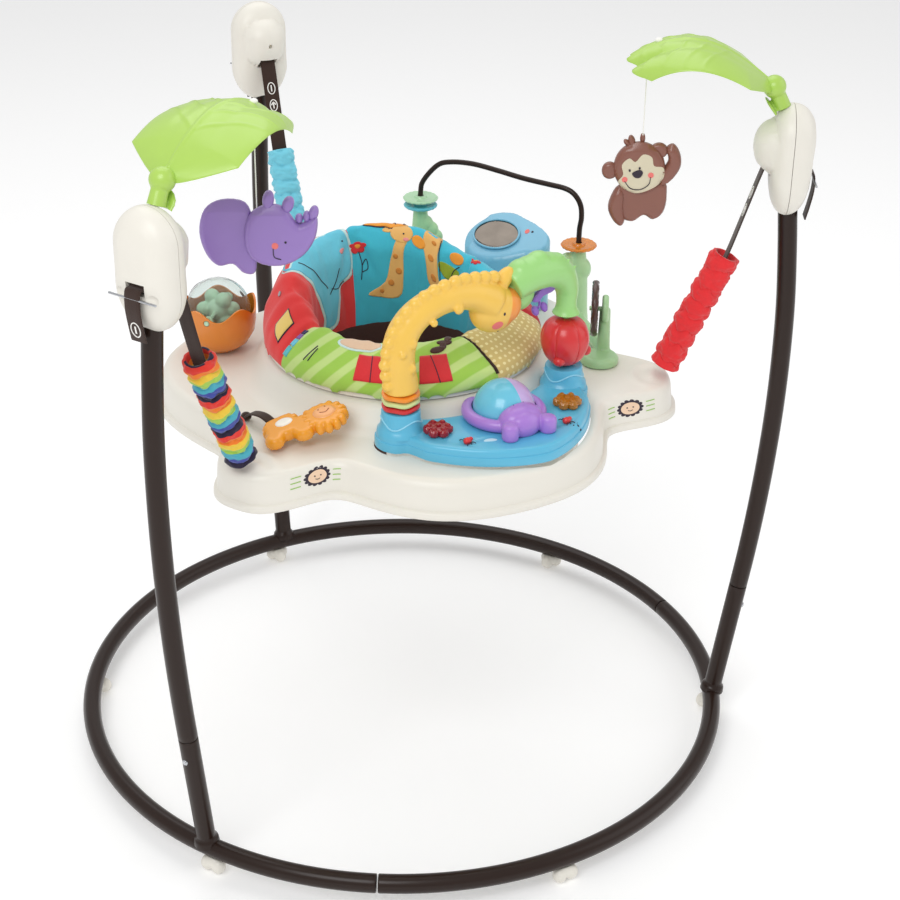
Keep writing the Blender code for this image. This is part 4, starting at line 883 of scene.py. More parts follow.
def tray_face(shell, azimuth, height, side):
    """A plain round sunny face with short rays and a few green lines, printed on the tray's skirt."""
    plane = at(azimuth - side * 4) @ turned("Z", side * 6) @ shift((0, 0, height)) @ OUTWARD
    teeth = [(0.0092 * cos(k * pi / 7), 0.0092 * sin(k * pi / 7), 0.0017) for k in range(14)]
    green = [stroke([(x - 0.004, y), (x + 0.004, y + 0.0005)], 0.0008)
             for y in (-0.007, -0.001, 0.005) for x in (-0.017, 0.017)]
    features = [ellipse(s * 0.0024, 0.0012, 0.0006, 0.0008, 10) for s in (-1, 1)]
    features.append(stroke(mm([(-1.8, -2.2), (0, -3.2), (1.8, -2.2)]), 0.0005))
    marks = [("dark", INK, [lobes([(0, 0, 0.009)] + teeth, 84)]),
             ("skin", SKIN, [ellipse(0, 0, 0.0074, 0.0074)]), ("lines", LEAF_PRINT, green),
             ("features", INK, features)]
    for k, (name, look, outlines) in enumerate(marks):
        printed(f"tray_print_{name}_{round(azimuth)}", look, "tray", shell, facing(plane, 0.4), outlines,
                0.00025 + 0.0002 * k, 0.0025, "cream_plastic")


SKIN = plain("beige_print", srgb(238, 205, 175), 0.6)
LEAF_PRINT = plain("leaf_green_print", srgb(150, 195, 90), 0.6)


def seat_ring():
    profile = mm([(160.5, 521.8), (160.9, 516), (139.5, 516), (139.5, 492.5), (134.7, 492.5),
                  (134.7, 521.8)])
    ring = moved(lathe(profile, 120, loop=True), shift(CENTRE))
    piece("seat_ring_moulding", ring, "seat", CREAM, "seat_ring", slot="cream_plastic")


# ---------------------------------------------------------------- seat

EYE = Vector((-0.905, -1.886, 1.459))
RIM_TOPS = [(0, 0.575), (30, 0.588), (60, 0.612), (90, 0.618), (120, 0.613), (150, 0.604), (167, 0.59)]
RIM_TOPS += [(186, 0.568), (210, 0.563), (300, 0.562), (335, 0.564), (360, 0.575)]
SEAMS = (95, 186, 285, 338, 22)
SEAT_FRONT = 275
WEAVE = 1300.0
TURQUOISE = srgb(70, 188, 212)


def view_axes():
    """The camera's axes: right, up and back."""
    yaw, pitch, roll = (radians(d) for d in (-27.5, 27.76, 0.82))
    back = Vector((sin(yaw) * cos(pitch), -cos(yaw) * cos(pitch), sin(pitch)))
    right = Vector((cos(yaw), sin(yaw), 0))
    up = back.cross(right)
    return right * cos(roll) + up * sin(roll), up * cos(roll) - right * sin(roll), back


def rim_top(azimuth):
    for (a, low), (b, high) in zip(RIM_TOPS, RIM_TOPS[1:]):
        if a <= azimuth <= b:
            return low + (high - low) * 0.5 * (1 - cos(pi * (azimuth - a) / (b - a)))
    return RIM_TOPS[0][1]


def seat_rings(profile, steps, puff):
    """Rings through (radius, height, rise, inward share) rows. The rim pulls in at the panel seams."""
    rings = []
    for radius, height, rise, share in profile:
        ring = []
        for k in range(steps):
            azimuth = 360 * k / steps
            a = radians(azimuth)
            gap = min(apart(azimuth, s) for s in SEAMS)
            pinch = puff * exp(-((gap / 3.5) ** 2)) * rise
            r = radius - share * 0.03 * cos(radians(apart(azimuth, SEAT_FRONT)) / 2) ** 2
            z = height + rise * (rim_top(azimuth) - height) - pinch
            ring.append((r * cos(a), r * sin(a), z))
        rings.append(ring)
    return rings


def rim_cushion():
    """The padded rim: a stuffed loop, inflated as cloth that is held down along its seams and underside."""
    profile = [(0.115, 0.484, 0.0, 0.35), (0.115, 0.5, 0.15, 0.6), (0.1172, 0.515, 0.4, 0.9),
               (0.121, 0.515, 0.68, 1.0), (0.1285, 0.515, 0.93, 1.0), (0.137, 0.515, 0.985, 1.0),
               (0.146, 0.515, 0.91, 0.75), (0.155, 0.515, 0.72, 0.45), (0.163, 0.515, 0.48, 0.1),
               (0.1655, 0.515, 0.25, 0.0), (0.165, 0.5168, 0.0, 0.0), (0.1625, 0.518, 0.0, 0.0),
               (0.1618, 0.524, 0.0, 0.0), (0.133, 0.5245, 0.0, 0.0), (0.1325, 0.505, 0.0, 0.0),
               (0.13, 0.484, 0.0, 0.1)]
    pad = skin(seat_rings(profile, 144, 0.003), loop=True)
    pad = modified(pad, "REMESH", mode="VOXEL", voxel_size=0.0045)
    modified(pad, "SMOOTH", iterations=2, factor=0.5)
    inflate(pad, cap=0.0045)
    modified(pad, "SUBSURF", levels=1, render_levels=1)
    mesh = pad.data
    normals = [v.normal.copy() for v in mesh.vertices]
    for v, n in zip(mesh.vertices, normals):
        a = atan2(v.co.y, v.co.x)
        turns = (cos(a) * 3.2, sin(a) * 3.2)
        fold = noise.noise(Vector((turns[0] * 3.1, turns[1] * 3.1, v.co.z * 9)))
        fine = noise.noise(Vector((v.co.x * 46, v.co.y * 46, v.co.z * 34)))
        seam = min(apart(degrees(a) % 360, s) for s in SEAMS)
        free = max(0.0, min(1.0, (v.co.z - 0.522) / 0.035))
        push = (0.0024 * fold + 0.0011 * fine - 0.003 * exp(-((seam / 1.3) ** 2))) * free
        v.co += n * push
        r = hypot(v.co.x, v.co.y)
        limit = 0.1685 if v.co.z < 0.575 else 0.1685 - 0.0215 * min(1.0, (v.co.z - 0.575) / 0.023)
        if r > limit:
            v.co.x *= limit / r
            v.co.y *= limit / r
    return moved(pad, shift(CENTRE))


def inflate(pad, cap):
    """Cloth simulation under pressure. No point moves further than cap."""
    held = pad.vertex_groups.new(name="held")
    rest = np.array([v.co[:] for v in pad.data.vertices])
    for i, (x, y, z) in enumerate(rest):
        azimuth = degrees(atan2(y, x)) % 360
        seam = min(apart(azimuth, s) for s in SEAMS)
        low = z < 0.527 and hypot(x, y) > 0.12
        held.add([i], 1.0 if low or seam < 1.2 else 0.0, "REPLACE")
    modifier = pad.modifiers.new("cloth", "CLOTH")
    settings = modifier.settings
    settings.quality = 4
    settings.mass = 0.2
    settings.use_pressure = True
    settings.uniform_pressure_force = 4.0
    settings.tension_stiffness = settings.compression_stiffness = 12
    settings.bending_stiffness = 0.4
    settings.vertex_group_mass = "held"
    settings.effector_weights.gravity = 0.0
    modifier.point_cache.frame_start, modifier.point_cache.frame_end = 1, 20
    for step in range(1, 21):
        bpy.context.scene.frame_set(step)
    graph = bpy.context.evaluated_depsgraph_get()
    soft = np.array([v.co[:] for v in pad.evaluated_get(graph).data.vertices])
    pad.modifiers.clear()
    step = soft - rest
    length = np.linalg.norm(step, axis=1, keepdims=True)
    step *= np.minimum(1.0, cap / np.maximum(length, 1e-9))
    pad.data.vertices.foreach_set("co", (rest + step).astype(np.float32).ravel())
    pad.data.update()
    bpy.context.scene.frame_set(1)


def sling():
    """The cloth bag under the rim, with its two leg holes."""
    profile = [(0.0005, 0.3655, 0, 0), (0.045, 0.366, 0, 0), (0.085, 0.3735, 0, 0), (0.1, 0.388, 0, 0),
               (0.1115, 0.43, 0, 0), (0.1145, 0.47, 0, 0.2), (0.1152, 0.49, 0, 0.35),
               (0.125, 0.4905, 0, 0.2), (0.129, 0.488, 0, 0.05), (0.1205, 0.43, 0, 0), (0.106, 0.382, 0, 0),
               (0.099, 0.373, 0, 0), (0.045, 0.3608, 0, 0), (0.0005, 0.36, 0, 0)]
    bag = skin(seat_rings(smooth(profile, 4), 160, 0.0))
    for v in bag.data.vertices:
        a = atan2(v.co.y, v.co.x)
        wave = noise.noise(Vector((cos(a) * 6, sin(a) * 6, v.co.z * 12)))
        if v.co.z < 0.482:
            v.co.x *= 1 + 0.022 * wave
            v.co.y *= 1 + 0.022 * wave
    holes = []
    for side in (-1, 1):
        start, end = (side * 0.058, -0.034, 0.44), (side * 0.086, -0.06, 0.32)
        holes.append(tube([(*start, 0.042), (*end, 0.042)], 64, 2))
    bag = cut(bag, *holes)
    look = cloth("dark_brown_cloth", srgb(70, 45, 40), WEAVE)
    piece("seat_sling", moved(bag, shift(CENTRE)), "seat", look, slot="seat_cloth", sharp=50)


def seat_look():
    """The rim's printed cloth: panels by azimuth, with stripes on the green and polka dots on the beige."""
    look = cloth("printed_seat_cloth", TURQUOISE, WEAVE)
    tree = look.node_tree
    where = node(tree, "TexCoord").outputs["Object"]
    parts = node(tree, "SeparateXYZ", Vector=where)
    x, y = parts.outputs["X"], maths(tree, "ADD", parts.outputs["Y"], -CENTRE.y)
    turn = maths(tree, "MULTIPLY", maths(tree, "ARCTAN2", y, x), degrees(1))
    turn = maths(tree, "MODULO", maths(tree, "ADD", turn, 360.0), 360.0)

    def times(a, b):
        return maths(tree, "MULTIPLY", a, b)

    def span(low, high):
        rest = maths(tree, "SUBTRACT", 1.0, above(look, turn, high, 0.1))
        return times(above(look, turn, low, 0.1), rest)

    over(look, span(95, 186), srgb(228, 62, 62))
    green, beige = span(186, 285), span(285, 338)
    over(look, green, srgb(160, 204, 84))
    slant = node(tree, "VectorMath", {"operation": "DOT_PRODUCT"}, _0=where, _1=(0.45, -1.0, -0.9))
    waves = maths(tree, "SINE", times(slant.outputs["Value"], 190.0))
    over(look, times(green, above(look, waves, 0.25, 0.3)), srgb(196, 222, 138))
    over(look, beige, srgb(212, 190, 122))
    across = node(tree, "CombineXYZ", X=x, Y=y, Z=0.0).outputs[0]
    out = node(tree, "VectorMath", {"operation": "LENGTH"}, _0=across).outputs["Value"]
    down = maths(tree, "SUBTRACT", parts.outputs["Z"], out)
    flat = node(tree, "CombineXYZ", X=times(turn, 0.3), Y=times(down, 95.0), Z=0.0).outputs[0]
    dots = node(tree, "TexVoronoi", {"voronoi_dimensions": "2D"}, Vector=flat, Scale=1.0, Randomness=0.15)
    spots = maths(tree, "SUBTRACT", 1.0, above(look, dots.outputs["Distance"], 0.24, 0.05))
    over(look, times(beige, spots), srgb(240, 228, 170))
    over(look, span(338, 350), srgb(190, 40, 48))
    return look


def build_seat():
    pad = rim_cushion()
    piece("seat_rim_cushion", pad, "seat", seat_look(), "seat_pad", slot="seat_cloth", sharp=180)
    sling()
    seat_prints(pad)


# The rim's top is rounded with the radius CREST, and the drawings are wrapped at these radii.
CREST = 0.026
INSIDE_SCALE = 0.118
OUTSIDE_SCALE = 0.142


def rim_ray(azimuth, along):
    """A ray onto the rim's cloth. along is the distance from the crest, below zero on the inner side."""
    a = radians(azimuth)
    quarter = CREST * pi / 2
    tilt = max(-quarter, min(quarter, along)) / CREST
    spare = max(0.0, abs(along) - quarter)
    middle = 0.137 - 0.022 * cos(radians(apart(azimuth, SEAT_FRONT)) / 2) ** 2
    outwards = Vector((cos(a), sin(a), 0))
    anchor = CENTRE + outwards * middle + Vector((0, 0, rim_top(azimuth % 360) - CREST - spare))
    direction = outwards * sin(tilt) + Vector((0, 0, cos(tilt)))
    return anchor + direction * 0.055, -direction


def seen_inside(azimuth, along):
    """Drawing axes on the inner wall: x to the right for somebody in the seat's middle, y up."""
    return lambda x, y: rim_ray(azimuth - degrees(x / INSIDE_SCALE), along + y)


def seen_outside(azimuth, along):
    """Drawing axes on the outer side: x to the right for somebody outside, y up towards the crest."""
    return lambda x, y: rim_ray(azimuth + degrees(x / OUTSIDE_SCALE), along - y)


def dot(x, y, rx, ry=None, turn=0.0):
    return mm(ellipse(x, y, rx, ry or rx, 24, turn))


def pen(width, *points):
    return stroke(mm(points), width / 1000, 5)


def rounded(*points):
    return smooth(mm(points), 4, True)


def box_shape(x, y, width, height):
    return mm([(x - width / 2, y - height / 2), (x + width / 2, y - height / 2),
               (x + width / 2, y + height / 2), (x - width / 2, y + height / 2)])


def petals(x, y, size):
    """A round flower with five petals."""
    turns = [radians(72 * k + 18) for k in range(5)]
    outer = [(x + size * 0.6 * cos(t), y + size * 0.6 * sin(t), size * 0.42) for t in turns]
    return mm(lobes([(x, y, size * 0.6)] + outer, 60))


def giraffe_upright():
    """The giraffe on the inner back wall, standing on a flared foot, with the drawing centred on its neck."""
    place = seen_inside(70, -0.065)
    neck = rounded((6, 44), (-4, 10), (-12, -20), (-34, -38), (6, -38), (12, -10), (12, 20), (18, 44))
    return place, [
        ("tan", 0.0006, [neck, dot(-6, 56, 6, 4, 20), dot(12, 66, 5, 7)]),
        ("tan", 0.001, [dot(10, 50, 13, 16)]),
        ("spot", 0.0012, [dot(2, 14, 3), dot(6, -4, 4), dot(-4, -20, 4), dot(-16, -32, 3)]),
        ("pink", 0.0014, [dot(15, 40, 3.5)]),
        ("ink", 0.0016, [dot(12, 50, 1, 1.5), pen(0.8, (4, 66), (3, 74)), dot(3, 75, 1.6),
                         pen(0.8, (12, 66), (13, 74)), dot(13, 75, 1.6)]),
    ]


def giraffe_bending():
    """The second giraffe leans in from the right with its muzzle towards the first."""
    place = seen_inside(50, -0.048)
    neck = rounded((-2, 52), (-6, 24), (0, 0), (6, -24), (26, -28), (18, -6), (14, 20), (14, 50))
    return place, [
        ("tan", 0.0006, [neck]),
        ("orange", 0.001, [dot(-11, 22, 8, 11, 15)]),
        ("spot", 0.0012, [dot(7, 34, 3), dot(6, 8, 4), dot(12, -12, 4)]),
        ("ink", 0.0014, [pen(1.0, (14, 44), (16, 18), (20, -4), (26, -24))]),
    ]


def back_wall_patches():
    """Flower, leafy patches and the dark-edged half oval between the two giraffes."""
    stalk = [pen(1.0, (0, 0), (3, -18), (1, -38)), pen(1.0, (3, -20), (9, -13), (10, -24), (3, -28))]
    vein = pen(1.0, (-4, -30), (0, -18), (6, -10))
    return [
        (seen_inside(91, -0.045), [("ink", 0.0006, stalk), ("red", 0.001, [petals(0, 4, 10)]),
                                   ("orange", 0.0014, [dot(0, 4, 3.5)])]),
        (seen_inside(20, -0.004), [("red", 0.0008, [petals(0, 0, 7)]), ("orange", 0.0012, [dot(0, 0, 2.4)])]),
        (seen_inside(74, 0.0), [("ink", 0.0006, [dot(0, 0, 24, 6)]),
                                ("orange", 0.001, [dot(0, 0.5, 22.5, 4.5)])]),
        (seen_inside(35, -0.04), [("olive", 0.0008, [dot(0, 0, 15, 10)])]),
        (seen_inside(31, -0.016), [("orange", 0.001, [dot(0, 0, 10, 8)]), ("ink", 0.0012, [vein])]),
    ]


def elephant_panel():
    """The pale-blue elephant patch, which wraps from the inner wall over the crest to the outer side."""
    place = seen_inside(122, -0.02)
    body = rounded((-52, 30), (-44, 0), (-30, -30), (-14, -60), (-2, -88), (2, -104), (22, -104), (26, -78),
                   (30, -58), (50, -50), (53, -20), (50, 12), (38, 30), (10, 40), (-24, 40))
    border = rounded((-56, 32), (-48, -2), (-34, -32), (-18, -62), (-6, -90), (-2, -109), (26, -109),
                     (30, -80), (34, -61), (53, -54), (57, -20), (54, 14), (41, 34), (10, 44), (-26, 44))
    return place, [
        ("pale", 0.0005, [border]),
        ("blue", 0.0009, [body]),
        ("pink", 0.0013, [dot(40, -18, 4.5)]),
        ("ink", 0.0015, [dot(44, 0, 1.2, 1.8), pen(1.0, (-34, 14), (-18, -22), (4, -52)),
                         pen(1.0, (10, -62), (22, -50), (30, -36)),
                         pen(1.0, (14, -56), (26, -60), (38, -56))]),
    ]


def front_face():
    """The beige half face between two pairs of paws on the green front, with the two plain tapes below it."""
    face = (seen_outside(220, 0.0), [
        ("pale", 0.0005, [dot(0, 0, 32, 14)]),
        ("beige", 0.0009, [dot(0, 1, 29, 12)]),
    ])
    paws = []
    for azimuth, along, turn in ((243, -0.004, 20), (268, -0.002, -10), (262, 0.01, 15)):
        pads = [dot(0, 0, 11, 5, turn), dot(10, 6, 8, 4.5, turn + 40)]
        paws.append((seen_outside(azimuth, along), [("paw", 0.001, pads)]))
    tapes = []
    for azimuth, turn in ((230, -6), (258, 8)):
        slant = tan(radians(turn)) * 14
        shape = mm([(-17 - slant, -12), (17 - slant, -12), (17 + slant, 12), (-17 + slant, 12)])
        tapes.append((seen_outside(azimuth, 0.03), [("red", 0.0008, [shape]),
                                                    ("ink", 0.0012, [pen(0.9, (2, -12), (-2, 12))])]))
    blades = [pen(0.9, (-4, -9), (2, 9)), pen(0.9, (2, -8), (4, 6))]
    grass = (seen_outside(200, 0.03), [("ink", 0.0008, blades)])
    return [face, grass] + paws + tapes


def left_side():
    """The blank cream label, its dark edge, and the row of coloured squares at the green seam."""
    label = (seen_outside(176, 0.03), [("ink", 0.0005, [box_shape(0, 0, 20, 29)]),
                                        ("cream", 0.0009, [box_shape(0, 0, 17, 26)])])
    squares = []
    for k, name in enumerate(("navy", "purple", "blue", "teal")):
        squares.append((seen_outside(187, 0.012 + 0.01 * k), [(name, 0.0008, [box_shape(0, 0, 8, 9)])]))
    return [label] + squares


PRINT_COLOURS = {
    "tan": (236, 184, 110), "spot": (214, 138, 62), "orange": (240, 158, 60), "pink": (240, 150, 150),
    "ink": (44, 38, 60), "red": (214, 52, 58), "olive": (150, 168, 50), "pale": (205, 232, 230),
    "blue": (108, 200, 224), "beige": (226, 194, 165), "paw": (74, 46, 42), "cream": (238, 206, 120),
    "navy": (50, 50, 95), "purple": (130, 95, 170), "teal": (90, 190, 200),
}


def seat_prints(pad):
    """The pictures on the seat's cloth, one piece for each colour, and the piping at the beige seam."""
    tree = surface(pad)
    drawings = [giraffe_upright(), giraffe_bending(), elephant_panel()]
    drawings += back_wall_patches() + front_face() + left_side()
    made = {name: [] for name in PRINT_COLOURS}
    for cast, layers in drawings:
        for name, height, outlines in layers:
            made[name] += [print_on(tree, cast, outline, height, 0.002) for outline in outlines]
    for name, patches in made.items():
        look = cloth(f"seat_print_{name}", srgb(*PRINT_COLOURS[name]), WEAVE)
        piece(f"seat_print_{name}", joined(*patches), "seat", look, slot="seat_cloth", sharp=180)
    seam = pen(3.4, (0, 22), (0, 0), (0, -46))
    piping = print_on(tree, seen_outside(285, 0.0), seam, 0.0018, 0.002)
    dark = cloth("piping_cloth", srgb(58, 38, 34), 900.0)
    piece("seat_piping", piping, "seat", dark, slot="seat_cloth", sharp=180)
    stud = print_on(tree, seen_outside(160, 0.022), dot(0, 0, 3.4), 0.0016, 0.0015)
    piece("seat_snap", stud, "seat", STEEL, slot="spring_steel")


# ---------------------------------------------------------------- console, arch and its toys

SKY = gloss("sky_blue_plastic", srgb(92, 184, 218), 0.3)
LILAC = gloss("lilac_plastic", srgb(170, 125, 212), 0.3)
RED = gloss("red_plastic", srgb(214, 48, 50), 0.3)
HERE = at(CONSOLE)
FACE_ON = HERE @ OUTWARD
FROM_ABOVE = facing(HERE @ shift((0, 0, 0.5)))
BALL = Vector((0.2065, -0.001, 0.512))
SWITCHES = {"power_slider": (0.236, -0.07), "mode_slider": (0.255, 0.05)}


def console():
    """The console's shell: a ledge round its edge, flared pedestals, and dished seats for the switches."""
    levels = mm([(484.2, -0.8), (484.5, 0), (493.5, 0), (494.3, -0.4), (494.6, -1.6), (499, -2.2),
                 (501, -2.8), (502.3, -4.2), (502.9, -6.2), (503, -9)])
    rings = [[(x, y, z) for x, y in console_outline(grow)] for z, grow in levels]
    body = skin(rings)
    for sign, top in ((-1, 0.5263), (1, 0.5233)):
        profile = mm([(0.1, 499), (27, 499), (26.2, 503), (24.6, 505), (23.2, 508), (22.2, 513)])
        profile += [(0.0216, top - 0.002), (0.0209, top - 0.0005), (0.0195, top), (0.0001, top)]
        pedestal = moved(lathe(profile, 72), shift((ARCH_RADIUS, sign * PEDESTAL, 0)))
        cut(body, pedestal, operation="UNION")
    tools = [tube([(BALL.x, BALL.y, z, 0.037) for z in (0.48, 0.53)], 96)]
    for x, y in SWITCHES.values():
        tools.append(blob((0.0078, 0.0125, 0.003), (x, y, CONSOLE_TOP + 0.0014), segments=48))
    body = cut(body, *tools)
    piece("console_shell", body, "tray", SKY, "console_body", place=HERE, slot="sky_plastic", sharp=30)
    waves = []
    for sign in (-1, 1):
        line = []
        for k in range(49):
            a = -2.2 + 4.4 * k / 48
            z = 0.5135 + 0.0042 * cos(3.0 * a + 0.4 * sign)
            r = 0.0219 + 0.0016 * max(0.0, (0.513 - z) / 0.005)
            line.append((ARCH_RADIUS + r * cos(a), sign * PEDESTAL + r * sin(a), z, 0.001))
        waves.append(tube(line, 10, 1))
    pale = gloss("pale_sky_plastic", srgb(140, 210, 236), 0.3)
    piece("pedestal_waves", joined(*waves), "tray", pale, place=HERE, slot="sky_plastic")
    for name, (x, y) in SWITCHES.items():
        switch(name, x, y)
    # A painted highlight: the pale patch beside the power switch, printed on the shell as console_print_pale.
    # The three small dots beside the mode switch are dark print.
    painted_highlight = mm([(244.5, -54.5), (247.5, -50), (250, -44), (249, -40), (244, -43), (242, -50)])
    rounds = []
    for k in range(3):
        size = 0.0009 + 0.0002 * k
        rounds.append(ellipse(0.2665 + 0.0012 * k, 0.051 + 0.005 * k, size, size, 12))
    # This pale colour paints the highlight patch beside the power switch.
    pale = plain("painted_highlight_sky", srgb(200, 232, 246), 0.5)
    for name, look, outlines in (("pale", pale, [smooth(painted_highlight, 4, True)]), ("dots", INK, rounds)):
        printed(f"console_print_{name}", look, "tray", body, FROM_ABOVE, outlines)


def switch(name, x, y):
    """A slide switch shaped as a small red bug, with thin dark legs on its dish."""
    back = blob((0.0042, 0.005, 0.0042), (0, 0, 0.0012))
    head = blob((0.0026, 0.0026, 0.0026), (-0.0008, 0.0046, 0.0022))
    stem = tube(mm([(0, 0, -5, 1.8), (0, 0, 1, 1.8)]), 12)
    spot = HERE @ shift((x, y, CONSOLE_TOP))
    piece(f"{name}_bug", joined(melt(0.0005, 3, back, head), stem), name, RED, name, place=spot,
          slot="red_plastic")
    legs = []
    for side in (-1, 1):
        for turn in (-0.5, 0.0, 0.5):
            start = (0.0035 * side, 0.003 * turn, 0.0008, 0.00045)
            knee = (0.0062 * side, 0.008 * turn, 0.0016, 0.00045)
            legs.append(tube([start, knee, (0.0078 * side, 0.011 * turn, 0.0004, 0.00045)], 8, 3))
    piece(f"{name}_legs", joined(*legs), name, INK, place=spot, slot="red_plastic")


def hippo():
    """The bezel round the ball: a soft ring with a broad head and two stubby feet on its outer side."""
    x, y, z = BALL
    band = []
    for k in range(72):
        a = 2 * pi * k / 72
        band.append((x + 0.0405 * cos(a), y + 0.0405 * sin(a), 0.5105, 0.0072))
    parts = [tube(band + band[:2], 20, 1)]
    parts.append(blob((0.02, 0.027, 0.018), (x + 0.034, y - 0.002, 0.515)))
    parts.append(blob((0.014, 0.021, 0.016), (x + 0.044, y - 0.004, 0.513)))
    for fx, fy in mm(((50, -27), (55, 20))):
        parts.append(tube([(x + fx, y + fy, h, r) for h, r in
                           mm(((503, 9), (508, 9.6), (518, 9.4), (522, 7)))], 24, 4, 0.001))
        leg = [(x + fx, y + fy, 0.512, 0.0085), (x + fx * 0.72, y + fy * 0.72, 0.512, 0.009)]
        parts.append(tube(leg, 16, 2))
    for fy in (-0.013, 0.006):
        parts.append(blob((0.005, 0.005, 0.0045), (x + 0.024, y + fy, 0.5235)))
    body = melt(0.0009, 6, *parts)
    clear_ball = blob((0.0366,) * 3, BALL, segments=64, rings=40)
    seat_side = tube([(0, 0, h, 0.1725) for h in (0.49, 0.54)], 128)
    floor = block((0.2, 0.2, 0.02), (x, y, CONSOLE_TOP + 0.0004 - 0.01))
    axle = tube([(x, y + s * 0.0425, z, 0.0034) for s in (-1, 1)], 20, 2)
    body = cut(body, clear_ball, seat_side, floor, axle)
    piece("hippo_body", body, "tray", LILAC, "hippo_bezel", place=HERE, slot="lilac_plastic", sharp=50)
    eyes = [ellipse(x + 0.0275, y + side, 0.0011, 0.0011, 12) for side in (-0.013, 0.006)]
    printed("hippo_eyes", INK, "tray", body, FROM_ABOVE, eyes, step=0.001, slot="lilac_plastic")


def roller():
    """The ball, pale blue with a lilac end, on its two axle pins."""
    look = gloss("two_colour_ball", srgb(108, 196, 224), 0.18)
    over(look, above(look, coordinate(look, (0.12, 1.0, 0.12)), 0.0085, 0.0002), srgb(196, 170, 224))
    ball = blob((0.035,) * 3, segments=96, rings=64)
    pins = tube(mm([(0, -40.5, 0, 2.8), (0, 40.5, 0, 2.8)]), 16, 2)
    piece("roller_ball_shell", joined(ball, pins), "roller_ball", look, "roller_ball",
          place=HERE @ shift(BALL), slot="aqua_plastic")


def flower(name, x, y, colour):
    """A faceted six-petalled lens over a lamp."""
    look = gloss(f"{name}_lens", colour, 0.08, grain=400.0, bump=0.5, Transmission_Weight=0.35)
    discs = [(0, 0, 0.009)]
    discs += [(0.0105 * cos(k * pi / 3), 0.0105 * sin(k * pi / 3), 0.006) for k in range(6)]
    lens = pillow(lobes(discs, 72), 0.0088, lip=0.45, soft=0.0035, step=0.0014)
    knobs = [blob((0.0036, 0.0036, 0.0024), (q[0], q[1], 0.0042), segments=8, rings=6) for q in discs[1:]]
    knobs.append(blob((0.0034, 0.0034, 0.0026), (0, 0, 0.0042), segments=8, rings=6))
    piece(f"{name}_body", joined(lens, *knobs), "tray", look, name,
          place=HERE @ shift((x, y, CONSOLE_TOP + 0.0049)), sharp=20)


def giraffe():
    """The giraffe's neck and head, with mane scallops, raised spots, an ear and an orange muzzle."""
    x = ARCH_RADIUS
    neck = [(-PEDESTAL, 0.548, 0.0196), (-0.112, 0.556, 0.0196), (-0.1145, 0.572, 0.019),
            (-0.115, 0.592, 0.0185), (-0.109, 0.614, 0.0178), (-0.095, 0.63, 0.0172),
            (-0.074, 0.64, 0.0168), (-0.05, 0.644, 0.0168), (-0.022, 0.641, 0.018), (-0.002, 0.631, 0.0215),
            (0.006, 0.624, 0.022)]
    parts = [tube([(x, *q) for q in neck], 40, 5, 0.004)]
    parts.append(blob((0.019, 0.03, 0.0275), (x + 0.001, 0.0085, 0.617), (-14, 0, 0), 48, 32))
    parts.append(blob((0.0185, 0.017, 0.021), (x, 0.026, 0.617), (-14, 0, 0), 40, 28))
    scallops = smooth(mm([(-130, 560), (-133, 575), (-133, 593), (-126, 615), (-112, 635), (-90, 650.5),
                          (-65, 659), (-38, 662), (-15, 660), (6, 656)]), 12)
    spacing, travelled, last = 0.0118, 0.0, None
    for q in scallops:
        travelled += 0.0 if last is None else hypot(q[0] - last[0], q[1] - last[1])
        if last is None or travelled >= spacing:
            parts.append(blob((0.0072, 0.0078, 0.0072), (x + 0.004, q[0], q[1]), segments=20, rings=14))
            travelled = 0.0
        last = q
    for y, z, size in mm(((-107.5, 608, 6.2), (-48, 635, 6.2), (-108.5, 579, 5.8), (-80, 626, 4.5),
                          (-120, 598, 4.5))):
        parts.append(blob((0.0035, size, size), (x + 0.0172, y, z), segments=24, rings=16))
    ear = tube([(x, 0.017, 0.644, 0.01), (x, 0.027, 0.653, 0.0085), (x, 0.033, 0.66, 0.0045)], 24, 4, 0.003)
    parts.append(ear)
    body = cut(melt(0.0013, 5, *parts), block((0.08, 0.08, 0.02), (x, -PEDESTAL, 0.5379)))
    core = tube([(x, -PEDESTAL, z, 0.0095) for z in (0.5272, 0.54, 0.55)], 32, 2)
    look = gloss("giraffe_yellow_plastic", srgb(242, 196, 84), 0.35)
    muzzle = above(look, coordinate(look, (0.0, 0.97, -0.2425)), 0.0205 - 0.2425 * 0.616, 0.0012)
    low = above(look, coordinate(look, (0.0, 0.0, -1.0)), -0.6415, 0.0006)
    over(look, maths(look.node_tree, "MULTIPLY", muzzle, low), srgb(240, 150, 62))
    joined(body, core)
    piece("giraffe_body", body, "tray", look, "arch", place=HERE, slot="yellow_plastic", sharp=60)
    cast = facing(FACE_ON, 0.3)
    features = [ellipse(0.0108, 0.6165, 0.0014, 0.0019, 14), stroke(mm([(8.5, 593.5), (10.5, 592)]), 0.0012)]
    printed("giraffe_eye", INK, "tray", body, cast, features, step=0.001)
    cheek = [ellipse(0.004, 0.6035, 0.0066, 0.0052, 28)]
    printed("giraffe_cheek", PINK, "tray", body, cast, cheek, step=0.0015)


